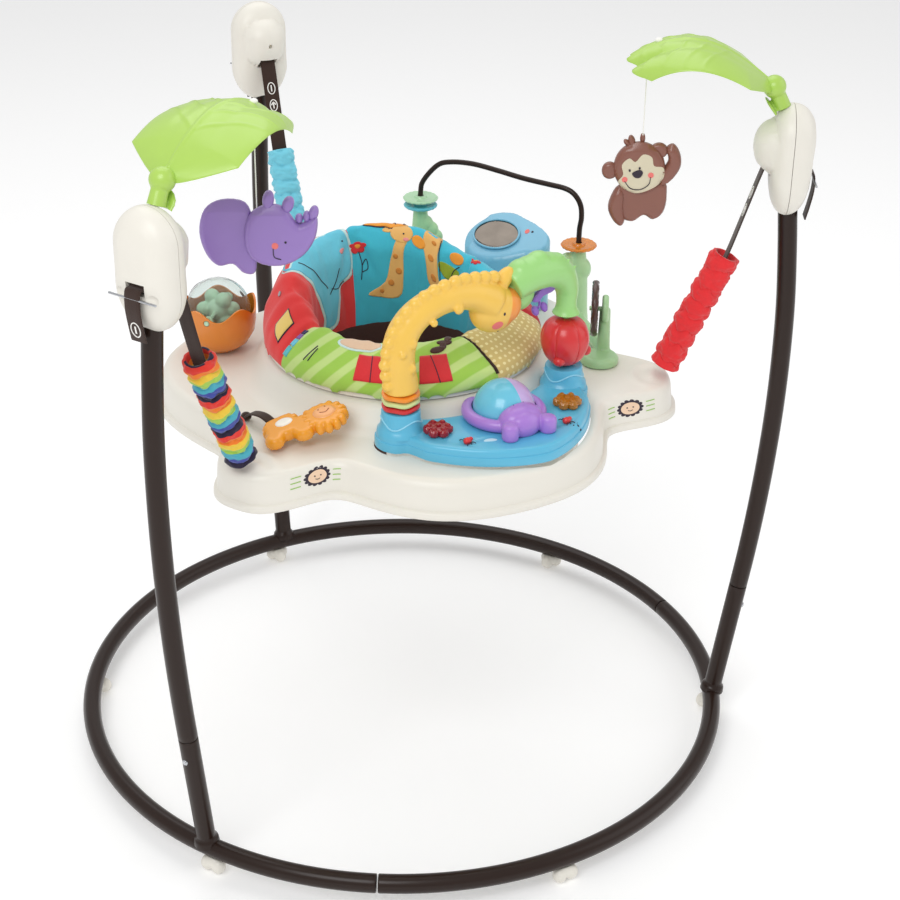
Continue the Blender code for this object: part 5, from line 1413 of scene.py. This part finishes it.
def leafy_half():
    """The leafy half of the arch, with raised veins, and its collar over the fruit's pin."""
    x = ARCH_RADIUS
    line = mm([(33, 638, 18.5), (50, 645, 20.5), (70, 647.5, 20.5), (88, 645, 19.5), (103, 634.5, 17),
               (111, 618, 13.5), (111.5, 602, 11.8), (111.5, 594, 12.8), (111.5, 587.2, 16.5)])
    parts = [tube([(x, *q) for q in line], 40, 6, 0.002)]
    parts.append(blob((0.012, 0.02, 0.023), (x - 0.004, 0.047, 0.627), (18, 0, 0)))
    for y, z, size in mm(((46, 650, 16.5), (70, 654, 17), (93, 649, 15))):
        parts.append(blob((size,) * 3, (x, y, z)))
    spine = smooth([(x + 0.014, y, z + 0.008) for y, z, _ in line[:6]], 8)
    for k in range(4, 40, 6):
        q = spine[min(k, len(spine) - 1)]
        for side in (-1, 1):
            end = (q[0] - 0.006, q[1] + 0.011, q[2] + side * 0.012 - 0.004)
            parts.append(tube([(*q, 0.002), (*end, 0.0012)], 8, 2))
    body = melt(0.0012, 4, *parts)
    pin = tube([(x, PEDESTAL, z, 0.0036) for z in (0.5245, 0.556, 0.589)], 20, 2)
    look = gloss("light_leaf_plastic", srgb(158, 214, 128), 0.35)
    piece("arch_leaf_body", joined(body, pin), "tray", look, place=HERE, slot="yellow_plastic", sharp=60)


def arch_toys():
    for name, height, colour in (("ring_red", 0.528, (205, 45, 50)), ("ring_cream", 0.535, (205, 220, 150)),
                                 ("ring_orange", 0.542, (240, 145, 45))):
        profile = mm([(19.6, 5), (20.6, 4.4), (21.2, 2.5), (20.6, 0.6), (19.6, 0), (10.6, 0), (10.6, 5)])
        ring = lathe(profile, 96, True, lambda a, r, z: (r, z + 0.0007 * sin(5 * a) * (r > 0.015)))
        piece(f"{name}_body", ring, name, gloss(f"{name}_plastic", srgb(*colour), 0.32), name,
              place=HERE @ shift((ARCH_RADIUS, -PEDESTAL, height)))
    profile = mm([(4.4, 26.8), (11, 26.2), (18, 23.5), (23.6, 18), (27.2, 10.5), (28.5, 1.5), (27.6, -7.5),
                  (24, -17), (19, -24), (14, -28), (10, -29.2), (4.4, -29.2)])
    profile = smooth(profile, 3)

    def ribs(a, r, z):
        groove = abs(sin(3 * a)) ** 0.35
        return (r * (0.93 + 0.07 * groove) if r > 0.006 else r), z

    fruit = lathe(profile, 180, True, ribs)
    lumps = [blob((0.0098, 0.0098, 0.0108), (0.0, 0.0225, -0.0085)),
             blob((0.006, 0.006, 0.0064), (0.01, 0.0235, -0.016)),
             blob((0.007, 0.007, 0.006), (0.013, -0.017, -0.019))]
    fruit = cut(fruit, *lumps, operation="UNION")
    piece("fruit_body", fruit, "fruit_spinner", RED, "fruit_spinner",
          place=HERE @ shift((ARCH_RADIUS, PEDESTAL, 0.5548)), slot="red_plastic", sharp=50)
    pivot = FACE_ON @ shift((0.0765, 0.629, ARCH_RADIUS))
    wing = mm([(-14, -15), (-2, -1), (4, 2), (16, -4.5), (14, -10), (1, -13), (-6, -18.5)])
    shapes = [pillow(smooth(wing, 4, True), 0.0058, lip=0.5, soft=0.002, step=0.0012)]
    shapes.append(pillow(stroke(mm([(-5, -15), (-3, -23), (-6, -27)]), 0.003), 0.0045,
                         step=0.001))
    for x, y in mm(((-9, -29), (3, -27))):
        shapes.append(pillow(ellipse(x, y, 0.0042, 0.0066, 32, 25), 0.0058, lip=0.4, soft=0.003, step=0.0012))
    shapes.append(tube([(0, 0, z, 0.0022) for z in (-0.0034, 0.0034)], 16, 2))
    piece("bow_charm_body", joined(*shapes), "bow_charm", gloss("charm_purple", srgb(140, 95, 190), 0.3),
          "bow_charm", place=pivot)


def hidden_parts():
    """CAD parts that stay as they are, inside the console."""
    board = plain("circuit_green", srgb(30, 90, 50), 0.5)
    for name, look in (("console_tub", CREAM), ("sound_module", board)):
        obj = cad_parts[name]
        obj.data.materials.clear()
        obj.data.materials.append(look)


def build_console():
    console()
    hippo()
    roller()
    flower("flower_red", 0.201, -0.085, srgb(176, 20, 40))
    flower("flower_amber", 0.223, 0.075, srgb(206, 130, 20))
    giraffe()
    leafy_half()
    arch_toys()
    hidden_parts()


# ---------------------------------------------------------------- toys on the tray and on the cords

MINT = gloss("mint_leaf_plastic", srgb(172, 214, 160), 0.35)
RAIL_START = Vector((0.124, 0.206, 0))
RAIL_END = Vector((0.2521, 0.0326, 0))
RAIL_FOOT_SHARE = 1.021
POD_TOPS = (0.592, 0.5785)
PLAQUE_SPOT = Vector((0.219, -0.073, 0.545))
PLAQUE_AXIS = Vector((0.848, -0.53, 0))
LION_HINGE = Vector((-0.222, -0.052, DECK_TOP))
MIRROR_POINT = Vector((0.24, 0, 0.568))
MIRROR_LEAN = radians(27)
MIRROR_AZIMUTH = 31.5
RATTLE_AZIMUTH = 141


def plate(thickness, z, points, soft=0.005):
    """A crowned plate through millimetre points."""
    return pillow(rounded(*points), thickness, soft=soft, step=0.0018, z=z)


def oval(x, y, rx, ry, thickness, z, turn=0.0):
    return pillow(mm(ellipse(x, y, rx, ry, 32, turn)), thickness, soft=0.004, step=0.0016, z=z)


def elephant():
    place = at(POSTS["left"], 0.268, 0, 0.778) @ turned("Z", 124)
    place = place @ turned("X", 90)
    ear = plate(0.01, -0.0025, [(-60, -40), (-54, -16), (-36, -5), (-12, -8), (-4, -30), (-2, -60),
                                (-4, -84), (-16, -85), (-27, -75), (-42, -77), (-54, -64)])
    head = plate(0.016, 0.001, [(-14, -44), (-8, -20), (10, -9), (28, -12), (40, -28), (48, -28), (61, -22),
                                (60, -42), (48, -62), (28, -74), (6, -74), (-9, -64)], 0.007)
    nubs = [oval(12, -4, 6, 10, 0.011, 0, -8), oval(32, -9, 6, 9, 0.011, 0, -20),
            oval(43, -24, 4, 5, 0.01, 0), oval(51, -22, 4, 6, 0.01, 0), oval(58, -18, 5, 8, 0.01, 0, -15)]
    prints = [(PINK, 0.0003, [dot(18, -51, 3.5)]),
              (INK, 0.0006, [dot(29, -47, 1.2), pen(0.9, (16, -54), (17, -63), (24, -66))])]
    look = gloss("elephant_purple", srgb(150, 120, 192), 0.32)
    hung("elephant", look, place, [ear, head] + nubs, prints)


def monkey():
    place = at(POSTS["right"], 0.268, 0, 0.775) @ turned("X", 90)
    trunk = plate(0.013, -0.001, [(-22, -56), (24, -50), (31, -68), (28, -88), (17, -97), (6, -92),
                                  (-6, -100), (-20, -95), (-25, -76)], 0.007)
    low_arm = plate(0.016, 0.001, [(-27, -60), (-18, -62), (-17, -82), (-15, -97), (-19, -105), (-28, -99),
                                   (-35, -82)], 0.006)
    high_arm = plate(0.014, 0, [(22, -56), (34, -50), (44, -34), (43, -18), (35, -7), (27, -12), (30, -26),
                                (23, -40)], 0.006)
    head = pillow(mm(ellipse(-2, -35, 29, 30, 48, 10)), 0.016, soft=0.008, step=0.0018, z=0.002)
    ears = [oval(-35, -40, 9, 10, 0.01, 0), oval(19, -15, 10, 9, 0.01, 0)]
    tuft = [oval(-12, -5, 4, 7, 0.01, 0, 15), oval(-17, -7, 3, 5, 0.009, 0, 50),
            oval(0, -2, 3, 6, 0.007, -0.002)]
    face = rounded((-25, -50), (-20, -41), (-22, -30), (-14, -22), (-7, -26), (1, -17), (11, -20), (14, -30),
                   (24, -32), (26, -44), (18, -54), (2, -62), (-10, -63), (-20, -58))
    skin_look = plain("monkey_face", srgb(214, 204, 178), 0.5)
    nose = rounded((-10, -39), (-2, -35), (2, -38), (-1, -44), (-7, -44))
    smile = pen(0.8, (-18, -49), (-11, -57), (0, -58), (9, -52), (11, -43))
    prints = [(skin_look, 0.0004, [face]), (PINK, 0.0008, [dot(-18, -47, 3.2), dot(11, -41, 3.2)]),
              (INK, 0.0011, [dot(-13, -36, 1.2, 1.5), dot(-2, -33, 1.2, 1.5), nose, smile])]
    look = gloss("monkey_brown", srgb(134, 84, 70), 0.3)
    hung("monkey", look, place, [trunk, low_arm, high_arm, head] + ears + tuft, prints)


def mirror():
    place = at(MIRROR_AZIMUTH)
    outline = smooth(mm([(203, 20), (212, 42), (240, 55), (268, 43), (280, 15), (276, -10), (269, -34),
                         (258, -54), (242, -60), (229, -52), (222, -34), (209, -10)]), 5, True)

    def top(v, d):
        drop = 0.006 * (1 - sqrt(max(0.0, 1 - (1 - min(1.0, d / 0.006)) ** 2)))
        return v.x, v.y, MIRROR_POINT.z + (v.x - MIRROR_POINT.x) * tan(MIRROR_LEAN) - drop

    stand = sheet(outline, 0.002, top, lambda v, d: (v.x, v.y, DECK_TOP + 0.0008))
    slant = shift(MIRROR_POINT) @ Matrix.Rotation(-MIRROR_LEAN, 4, "Y")
    look = gloss("mirror_blue_plastic", srgb(122, 184, 212), 0.32)
    piece("mirror_stand_shell", stand, "tray", look, "mirror_stand", place=place,
          slot="sky_plastic", sharp=40)
    middle = slant @ shift((0, 0.013, 0.0012))
    dark = plain("dark_mirror", srgb(120, 112, 104), 0.06, mottle=0.3, bump=0.0, Metallic=1.0)
    glass = pillow(ellipse(0, 0, 0.0235, 0.03, 56), 0.0022, soft=0.001, step=0.002)
    piece("mirror_face", glass, "tray", dark, "mirror_glass", place=place @ middle, slot="mirror", sharp=30)
    rim = [(*q, 0.0012, 0.0014) for q in ellipse(0, 0, 0.0245, 0.031, 56)]
    rim = tube(rim + rim[:2], 12, 1)
    piece("mirror_rim", rim, "tray", look, place=place @ middle, slot="sky_plastic", sharp=60)
    cast = facing(place @ shift((0, 0, 0.6)))
    for name, ink, outline, step in (("eye", INK, ellipse(256, -30, 1.5, 1.5, 16), 0.001),
                                     ("cheek", PINK, ellipse(255, -23, 3.4, 3, 20), 0.0015)):
        printed(f"mirror_animal_{name}", ink, "tray", stand, cast, [mm(outline)], step=step,
                slot="sky_plastic")


def rail_spots():
    """The rail's own foot points on the tray."""
    return RAIL_START, RAIL_START.lerp(RAIL_END, RAIL_FOOT_SHARE)


def rail():
    """The bent wire: an upright, a falling sweep, and a second upright."""
    rise = [(0, POD_TOPS[0] - 0.015), (0, 0.614), (0.02, 0.631), (0.11, 0.654), (0.2, 0.6615)]
    sweep = [(0.34, 0.664), (0.5, 0.661), (0.66, 0.657), (0.82, 0.655), (0.92, 0.6535), (0.98, 0.648)]
    fall = [(1.02, 0.636), (1.03, 0.62), (RAIL_FOOT_SHARE, 0.602), (RAIL_FOOT_SHARE, POD_TOPS[1] - 0.015)]
    points = [(*RAIL_START.lerp(RAIL_END, share).xy, z, 0.0033) for share, z in rise + sweep + fall]
    wire = moved(tube(points, 20, 10), shift(CENTRE))
    piece("rail_wire", wire, "tray", BROWN_PAINT, "bead_rail", slot="brown_paint", sharp=60)


def pods():
    left, right = rail_spots()
    for name, spot, height, leaves in (
        ("left", left, POD_TOPS[0], [(12, -6, 18, 15), (12, -7, 46, 12), (7, -4, 90, 9), (13, -7, 82, 9),
                                     (19, -10, 72, 8)]),
        ("right", right, POD_TOPS[1], [(-10, 6, 58, 15), (-11, 6, 76, 13), (4, -2, 70, 13)]),
    ):
        parts = [tube([(spot.x, spot.y, z, r) for z, r in
                       ((DECK_TOP + 0.0008, 0.016), (0.5, 0.0145), (0.545, 0.0125), (height, 0.009))], 28, 4)]
        for x, y, z, size in mm(leaves):
            centre = (spot.x + x, spot.y + y, DECK_TOP + z)
            parts.append(blob((size * 0.95, size * 0.95, size * 1.15), centre))
        if name == "right":
            parts += bracket(spot)
        body = cut(melt(0.0013, 3, *parts), block((0.5, 0.5, 0.06), (spot.x, spot.y, DECK_TOP - 0.0292)))
        if name == "right":
            pin = [(*(PLAQUE_SPOT + PLAQUE_AXIS * s), 0.0028) for s in (-0.0065, 0.0125)]
            body = joined(body, tube(pin, 20, 2, 0.0006))
        moved(body, shift(CENTRE))
        piece(f"rail_pod_{name}_body", body, "tray", MINT, f"rail_pod_{name}", slot="mint_plastic", sharp=70)


def bracket(spot):
    """The plaque's stalk and round plate, its wide foot, and the ridge to the pod."""
    end = PLAQUE_SPOT + PLAQUE_AXIS * 0.0125
    low = DECK_TOP + 0.0008
    around = [(*(end + PLAQUE_AXIS * s), r) for s, r in mm(((-4, 15), (-2, 17), (2, 17), (4, 15)))]
    base = [(0.217, -0.092, low + rise, radius) for rise, radius in mm([(0, 23), (7, 23), (11, 19)])]
    stalk = [(end.x, end.y, low, 0.0085), (end.x, end.y, 0.51, 0.0075), (end.x, end.y, 0.545, 0.0065)]
    ridge = [(end.x, end.y, low + 0.0075, 0.0078), (spot.x, spot.y, low + 0.0075, 0.0078)]
    return [tube(around, 40, 1), tube(base, 40, 1), tube(stalk, 24, 3), tube(ridge, 24, 2)]


def rail_discs():
    left, right = rail_spots()

    def dished(radius, height, hub):
        section = [(0.004, hub), (0.0075, hub), (0.0086, 0.0018), (radius - 0.002, 0.0026),
                   (radius, 0.0008), (radius - 0.001, -0.001), (0.0086, -0.0024), (0.004, -0.0024)]
        return moved(lathe(section, 72, True, lambda a, r, z: (r, z + 0.0003 * sin(18 * a) * (r > 0.01))),
                     shift((0, 0, height)))

    pair = CENTRE + left + Vector((0, 0, POD_TOPS[0] + 0.014))
    upper = dished(0.0225, 0, 0.004)
    piece("disc_mint", upper, "disc_pair", gloss("disc_mint", srgb(176, 216, 176), 0.3), "disc_pair",
          place=shift(pair), slot="mint_plastic")
    lower = dished(0.0216, -0.0095, 0.0068)
    piece("disc_blue", lower, "disc_pair", gloss("disc_blue", srgb(92, 190, 205), 0.3),
          place=shift(pair), slot="mint_plastic")
    single = CENTRE + right + Vector((0, 0, POD_TOPS[1] + 0.0045))
    look = gloss("disc_orange_clear", srgb(244, 152, 52), 0.18, Transmission_Weight=0.35)
    piece("disc_orange_body", dished(0.0225, 0, 0.004), "disc_orange", look, "disc_orange",
          place=shift(single), slot="orange_plastic")


def plaque():
    section = mm([(3.4, 3), (8, 4), (14, 2.4), (20, 3.6), (26, 2.4), (31, 3.6), (33.5, 1.6), (33.5, -1.6),
                  (31, -3.6), (26, -2.4), (20, -3.6), (14, -2.4), (8, -4), (3.4, -3)])

    def bumps(a, r, z):
        return r, z * (1 + 0.22 * cos(10 * a) * (r > 0.012))

    body = lathe(smooth(section, 3, True), 120, True, bumps)
    place = shift(CENTRE + PLAQUE_SPOT) @ PLAQUE_AXIS.to_track_quat("Z", "Y").to_matrix().to_4x4()
    look = gloss("plaque_brown", srgb(72, 46, 38), 0.3)
    piece("plaque_body", body, "spinner_plaque", look, "spinner_plaque", place=place, slot="brown_plastic")


def rattle():
    spot = Vector((0.229, 0, 0.533))
    outer = mm([(0.1, 484.6), (10, 484.6), (24, 485.6), (35, 494), (43, 508), (45.2, 522), (45.6, 539)])
    inner = mm([(43.2, 539), (42.8, 522), (40.6, 509), (33.2, 496), (22.8, 488.2), (10, 487.2),
                (0.1, 487.2)])

    def petal(a, r, z):
        return r, z + (0.0065 * cos(5 * a) + 0.001 if z > 0.53 else 0.0)

    cup = moved(lathe(outer + inner, 100, False, petal), shift((spot.x, 0, 0)))
    cup = cut(cup, tube([(spot.x, s * 0.06, spot.z, 0.0038) for s in (-1, 1)], 32, 2))
    cup_look = gloss("rattle_orange", srgb(238, 142, 44), 0.25, Transmission_Weight=0.15)
    piece("rattle_cup_body", cup, "tray", cup_look, "rattle_cup", place=at(RATTLE_AZIMUTH),
          slot="orange_plastic", sharp=50)

    place = at(RATTLE_AZIMUTH, *spot)
    clear = plain("clear_shell", srgb(240, 246, 244), 0.04, mottle=0.0, bump=0.0,
                  Transmission_Weight=0.95, IOR=1.12)
    ball = clear_shell_ball(0.039, 0.0016)
    piece("rattle_shell", ball, "rattle_ball", clear, "rattle_ball", place=place,
          slot="clear_plastic", sharp=60)
    ends = []
    for s in (-1, 1):
        ends.append(tube([(0, s * 0.0355, 0, 0.0062), (0, s * 0.04, 0, 0.0062)], 28, 2, 0.0005))
        ends.append(tube([(0, s * 0.039, 0, 0.0029), (0, s * 0.0455, 0, 0.0029)], 20, 2))
    core = [tube(mm([(0, -36, 0, 2.4), (0, 36, 0, 2.4)]), 16, 2), blob((0.014, 0.014, 0.014))]
    for k in range(6):
        a = radians(60 * k)
        core.append(blob((0.0095, 0.0085, 0.0095), (0.0165 * cos(a), 0.004 * (-1) ** k, 0.0165 * sin(a))))
    tumbler = melt(0.0012, 3, *core)
    look = gloss("tumbler_mint", srgb(186, 222, 188), 0.35)
    piece("rattle_tumbler", joined(tumbler, *ends), "rattle_ball", look, place=place,
          slot="mint_plastic", sharp=60)


def clear_shell_ball(radius, wall):
    """A clear ball shell with a moulded waist line."""
    steps, profile = 40, []
    for side, size in ((1, radius), (-1, radius - wall)):
        for k in range(steps + 1):
            a = 0.06 + (pi - 0.12) * (k if side == 1 else steps - k) / steps
            bead = 0.0006 * exp(-((degrees(a) - 90) / 2) ** 2) if side == 1 else 0.0
            profile.append(((size + bead) * sin(a), (size + bead) * cos(a)))
    return moved(lathe(profile, 72, True), turned("X", 90))


def lion():
    hinge = shift(CENTRE + LION_HINGE)
    lying = hinge @ turned("Y", -13) @ shift((0, 0, 0.011))
    amber = gloss("lion_amber", srgb(250, 166, 38), 0.2, Transmission_Weight=0.12)
    body_discs = [(22, -66, 20), (4, -82, 11), (36, -88, 12), (44, -76, 15)]
    turns = [radians(20 * k + 30) for k in range(10)]
    body_discs += [(22 + 20 * cos(t), -66 + 20 * sin(t), 4.5) for t in turns]
    body = pillow(mm(lobes(body_discs, 110)), 0.014, soft=0.006, step=0.0018)
    mane = [(66, -80, 21)]
    mane += [(66 + 22 * cos(t), -80 + 22 * sin(t), 5) for t in (radians(360 / 14 * k) for k in range(14))]
    head = pillow(mm(lobes(mane, 140)), 0.015, soft=0.006, step=0.0018, z=0.0008)
    piece("lion_body", joined(body, head), "lion", amber, "lion_toy", place=lying,
          slot="amber_lens", sharp=60)
    face = pillow(mm(ellipse(67, -80, 15, 14, 48)), 0.02, soft=0.008, step=0.0016, z=0.0008)
    face_look = gloss("lion_face", srgb(240, 172, 112), 0.3)
    piece("lion_face_plate", face, "lion", face_look, place=lying, slot="amber_lens", sharp=60)
    lens = pillow(mm(ellipse(24, -64, 12, 10, 40)), 0.0165, soft=0.005, step=0.0016)
    piece("lion_lens", lens, "lion", gloss("lion_white", srgb(244, 238, 228), 0.15), place=lying,
          slot="amber_lens", sharp=60)
    marks = [dot(62, -76, 0.9), dot(71, -74, 0.9), pen(0.7, (61, -82), (67, -85), (73, -81))]
    ink = plain("lion_ink", srgb(150, 70, 40), 0.5)
    printed("lion_smile", ink, "lion", face, facing(lying, 0.03), marks, step=0.0012, slot="amber_lens")
    web = ribbon(mm([(0, 2.8), (10, 12.5), (28, 16), (45, 12)]), 0.013, 0.0018)
    turn = Matrix.Rotation(atan2(-0.052, 0.02), 4, "Z")
    knob = blob((0.0062, 0.0062, 0.005), (0, 0, 0.0052))
    piece("lion_tether", joined(web, knob), "lion", WEBBING, place=hinge @ turn, slot="amber_lens", sharp=60)


def build_toys():
    elephant()
    monkey()
    mirror()
    rail()
    pods()
    rail_discs()
    plaque()
    rattle()
    lion()


# ---------------------------------------------------------------- stage, light and camera


def stage():
    """A pale floor, three soft lights and a white world."""
    white = bpy.data.materials.new("backdrop")
    white.use_nodes = True
    settings = {"Base Color": (0.93, 0.93, 0.93, 1), "Roughness": 0.9, "Emission Color": (1, 1, 1, 1),
                "Emission Strength": 0.16}
    for key, value in settings.items():
        white.node_tree.nodes["Principled BSDF"].inputs[key].default_value = value
    bpy.ops.mesh.primitive_plane_add(size=30)
    floor = bpy.context.object
    floor.name = "floor"
    floor.data.materials.append(white)
    for name, spot, size, power in (
        ("key", (-1.6, -1.6, 2.6), 1.6, 34),
        ("fill", (2.4, -1.4, 1.8), 2.4, 14),
        ("top", (0.3, 1.2, 2.9), 2.4, 22),
    ):
        lamp = bpy.data.lights.new(name, "AREA")
        lamp.size = size
        lamp.energy = power
        holder = bpy.data.objects.new(name, lamp)
        holder.location = spot
        holder.rotation_euler = (Vector((0, 0, 0.4)) - Vector(spot)).to_track_quat("-Z", "Y").to_euler()
        bpy.context.scene.collection.objects.link(holder)
    world = bpy.data.worlds.new("studio")
    world.use_nodes = True
    world.node_tree.nodes["Background"].inputs["Color"].default_value = (1, 1, 1, 1)
    world.node_tree.nodes["Background"].inputs["Strength"].default_value = 0.62
    bpy.context.scene.world = world
    bpy.context.scene.view_settings.view_transform = "Standard"


def camera():
    lens = bpy.data.cameras.new("camera")
    lens.lens = 76.5
    holder = bpy.data.objects.new("camera", lens)
    holder.matrix_world = shift(EYE) @ Matrix(view_axes()).transposed().to_4x4()
    bpy.context.scene.collection.objects.link(holder)
    bpy.context.scene.camera = holder


def build_frame():
    for place, azimuth in POSTS.items():
        base_tube(place, azimuth)
        post(place, azimuth)
        housing(place, azimuth, 1)
        housing(place, azimuth, -1)
        strap(place, azimuth)
        spring(place, azimuth)
    for number in range(1, 7):
        foot(number)
    leaf("left", POSTS["left"])
    leaf("right", POSTS["right"])
    rainbow = [srgb(*c) for c in ((225, 60, 50), (240, 130, 50), (235, 200, 70), (165, 205, 90),
                                  (80, 170, 190), (70, 80, 160), (45, 38, 60))]
    sleeve("left", POSTS["left"], banded("rainbow_sleeve_cloth", rainbow, 3), 9.5, 3.0)
    coral = cloth("coral_sleeve_cloth", srgb(228, 52, 56), 1400.0)
    aqua = cloth("aqua_sleeve_cloth", srgb(120, 205, 225), 1400.0)
    sleeve("right", POSTS["right"], coral, 7.5, 11.0)
    sleeve("rear", POSTS["rear"], aqua, 8.0, 21.0)


build_frame()
deck()
seat_ring()
build_seat()
build_console()
build_toys()
stage()
camera()
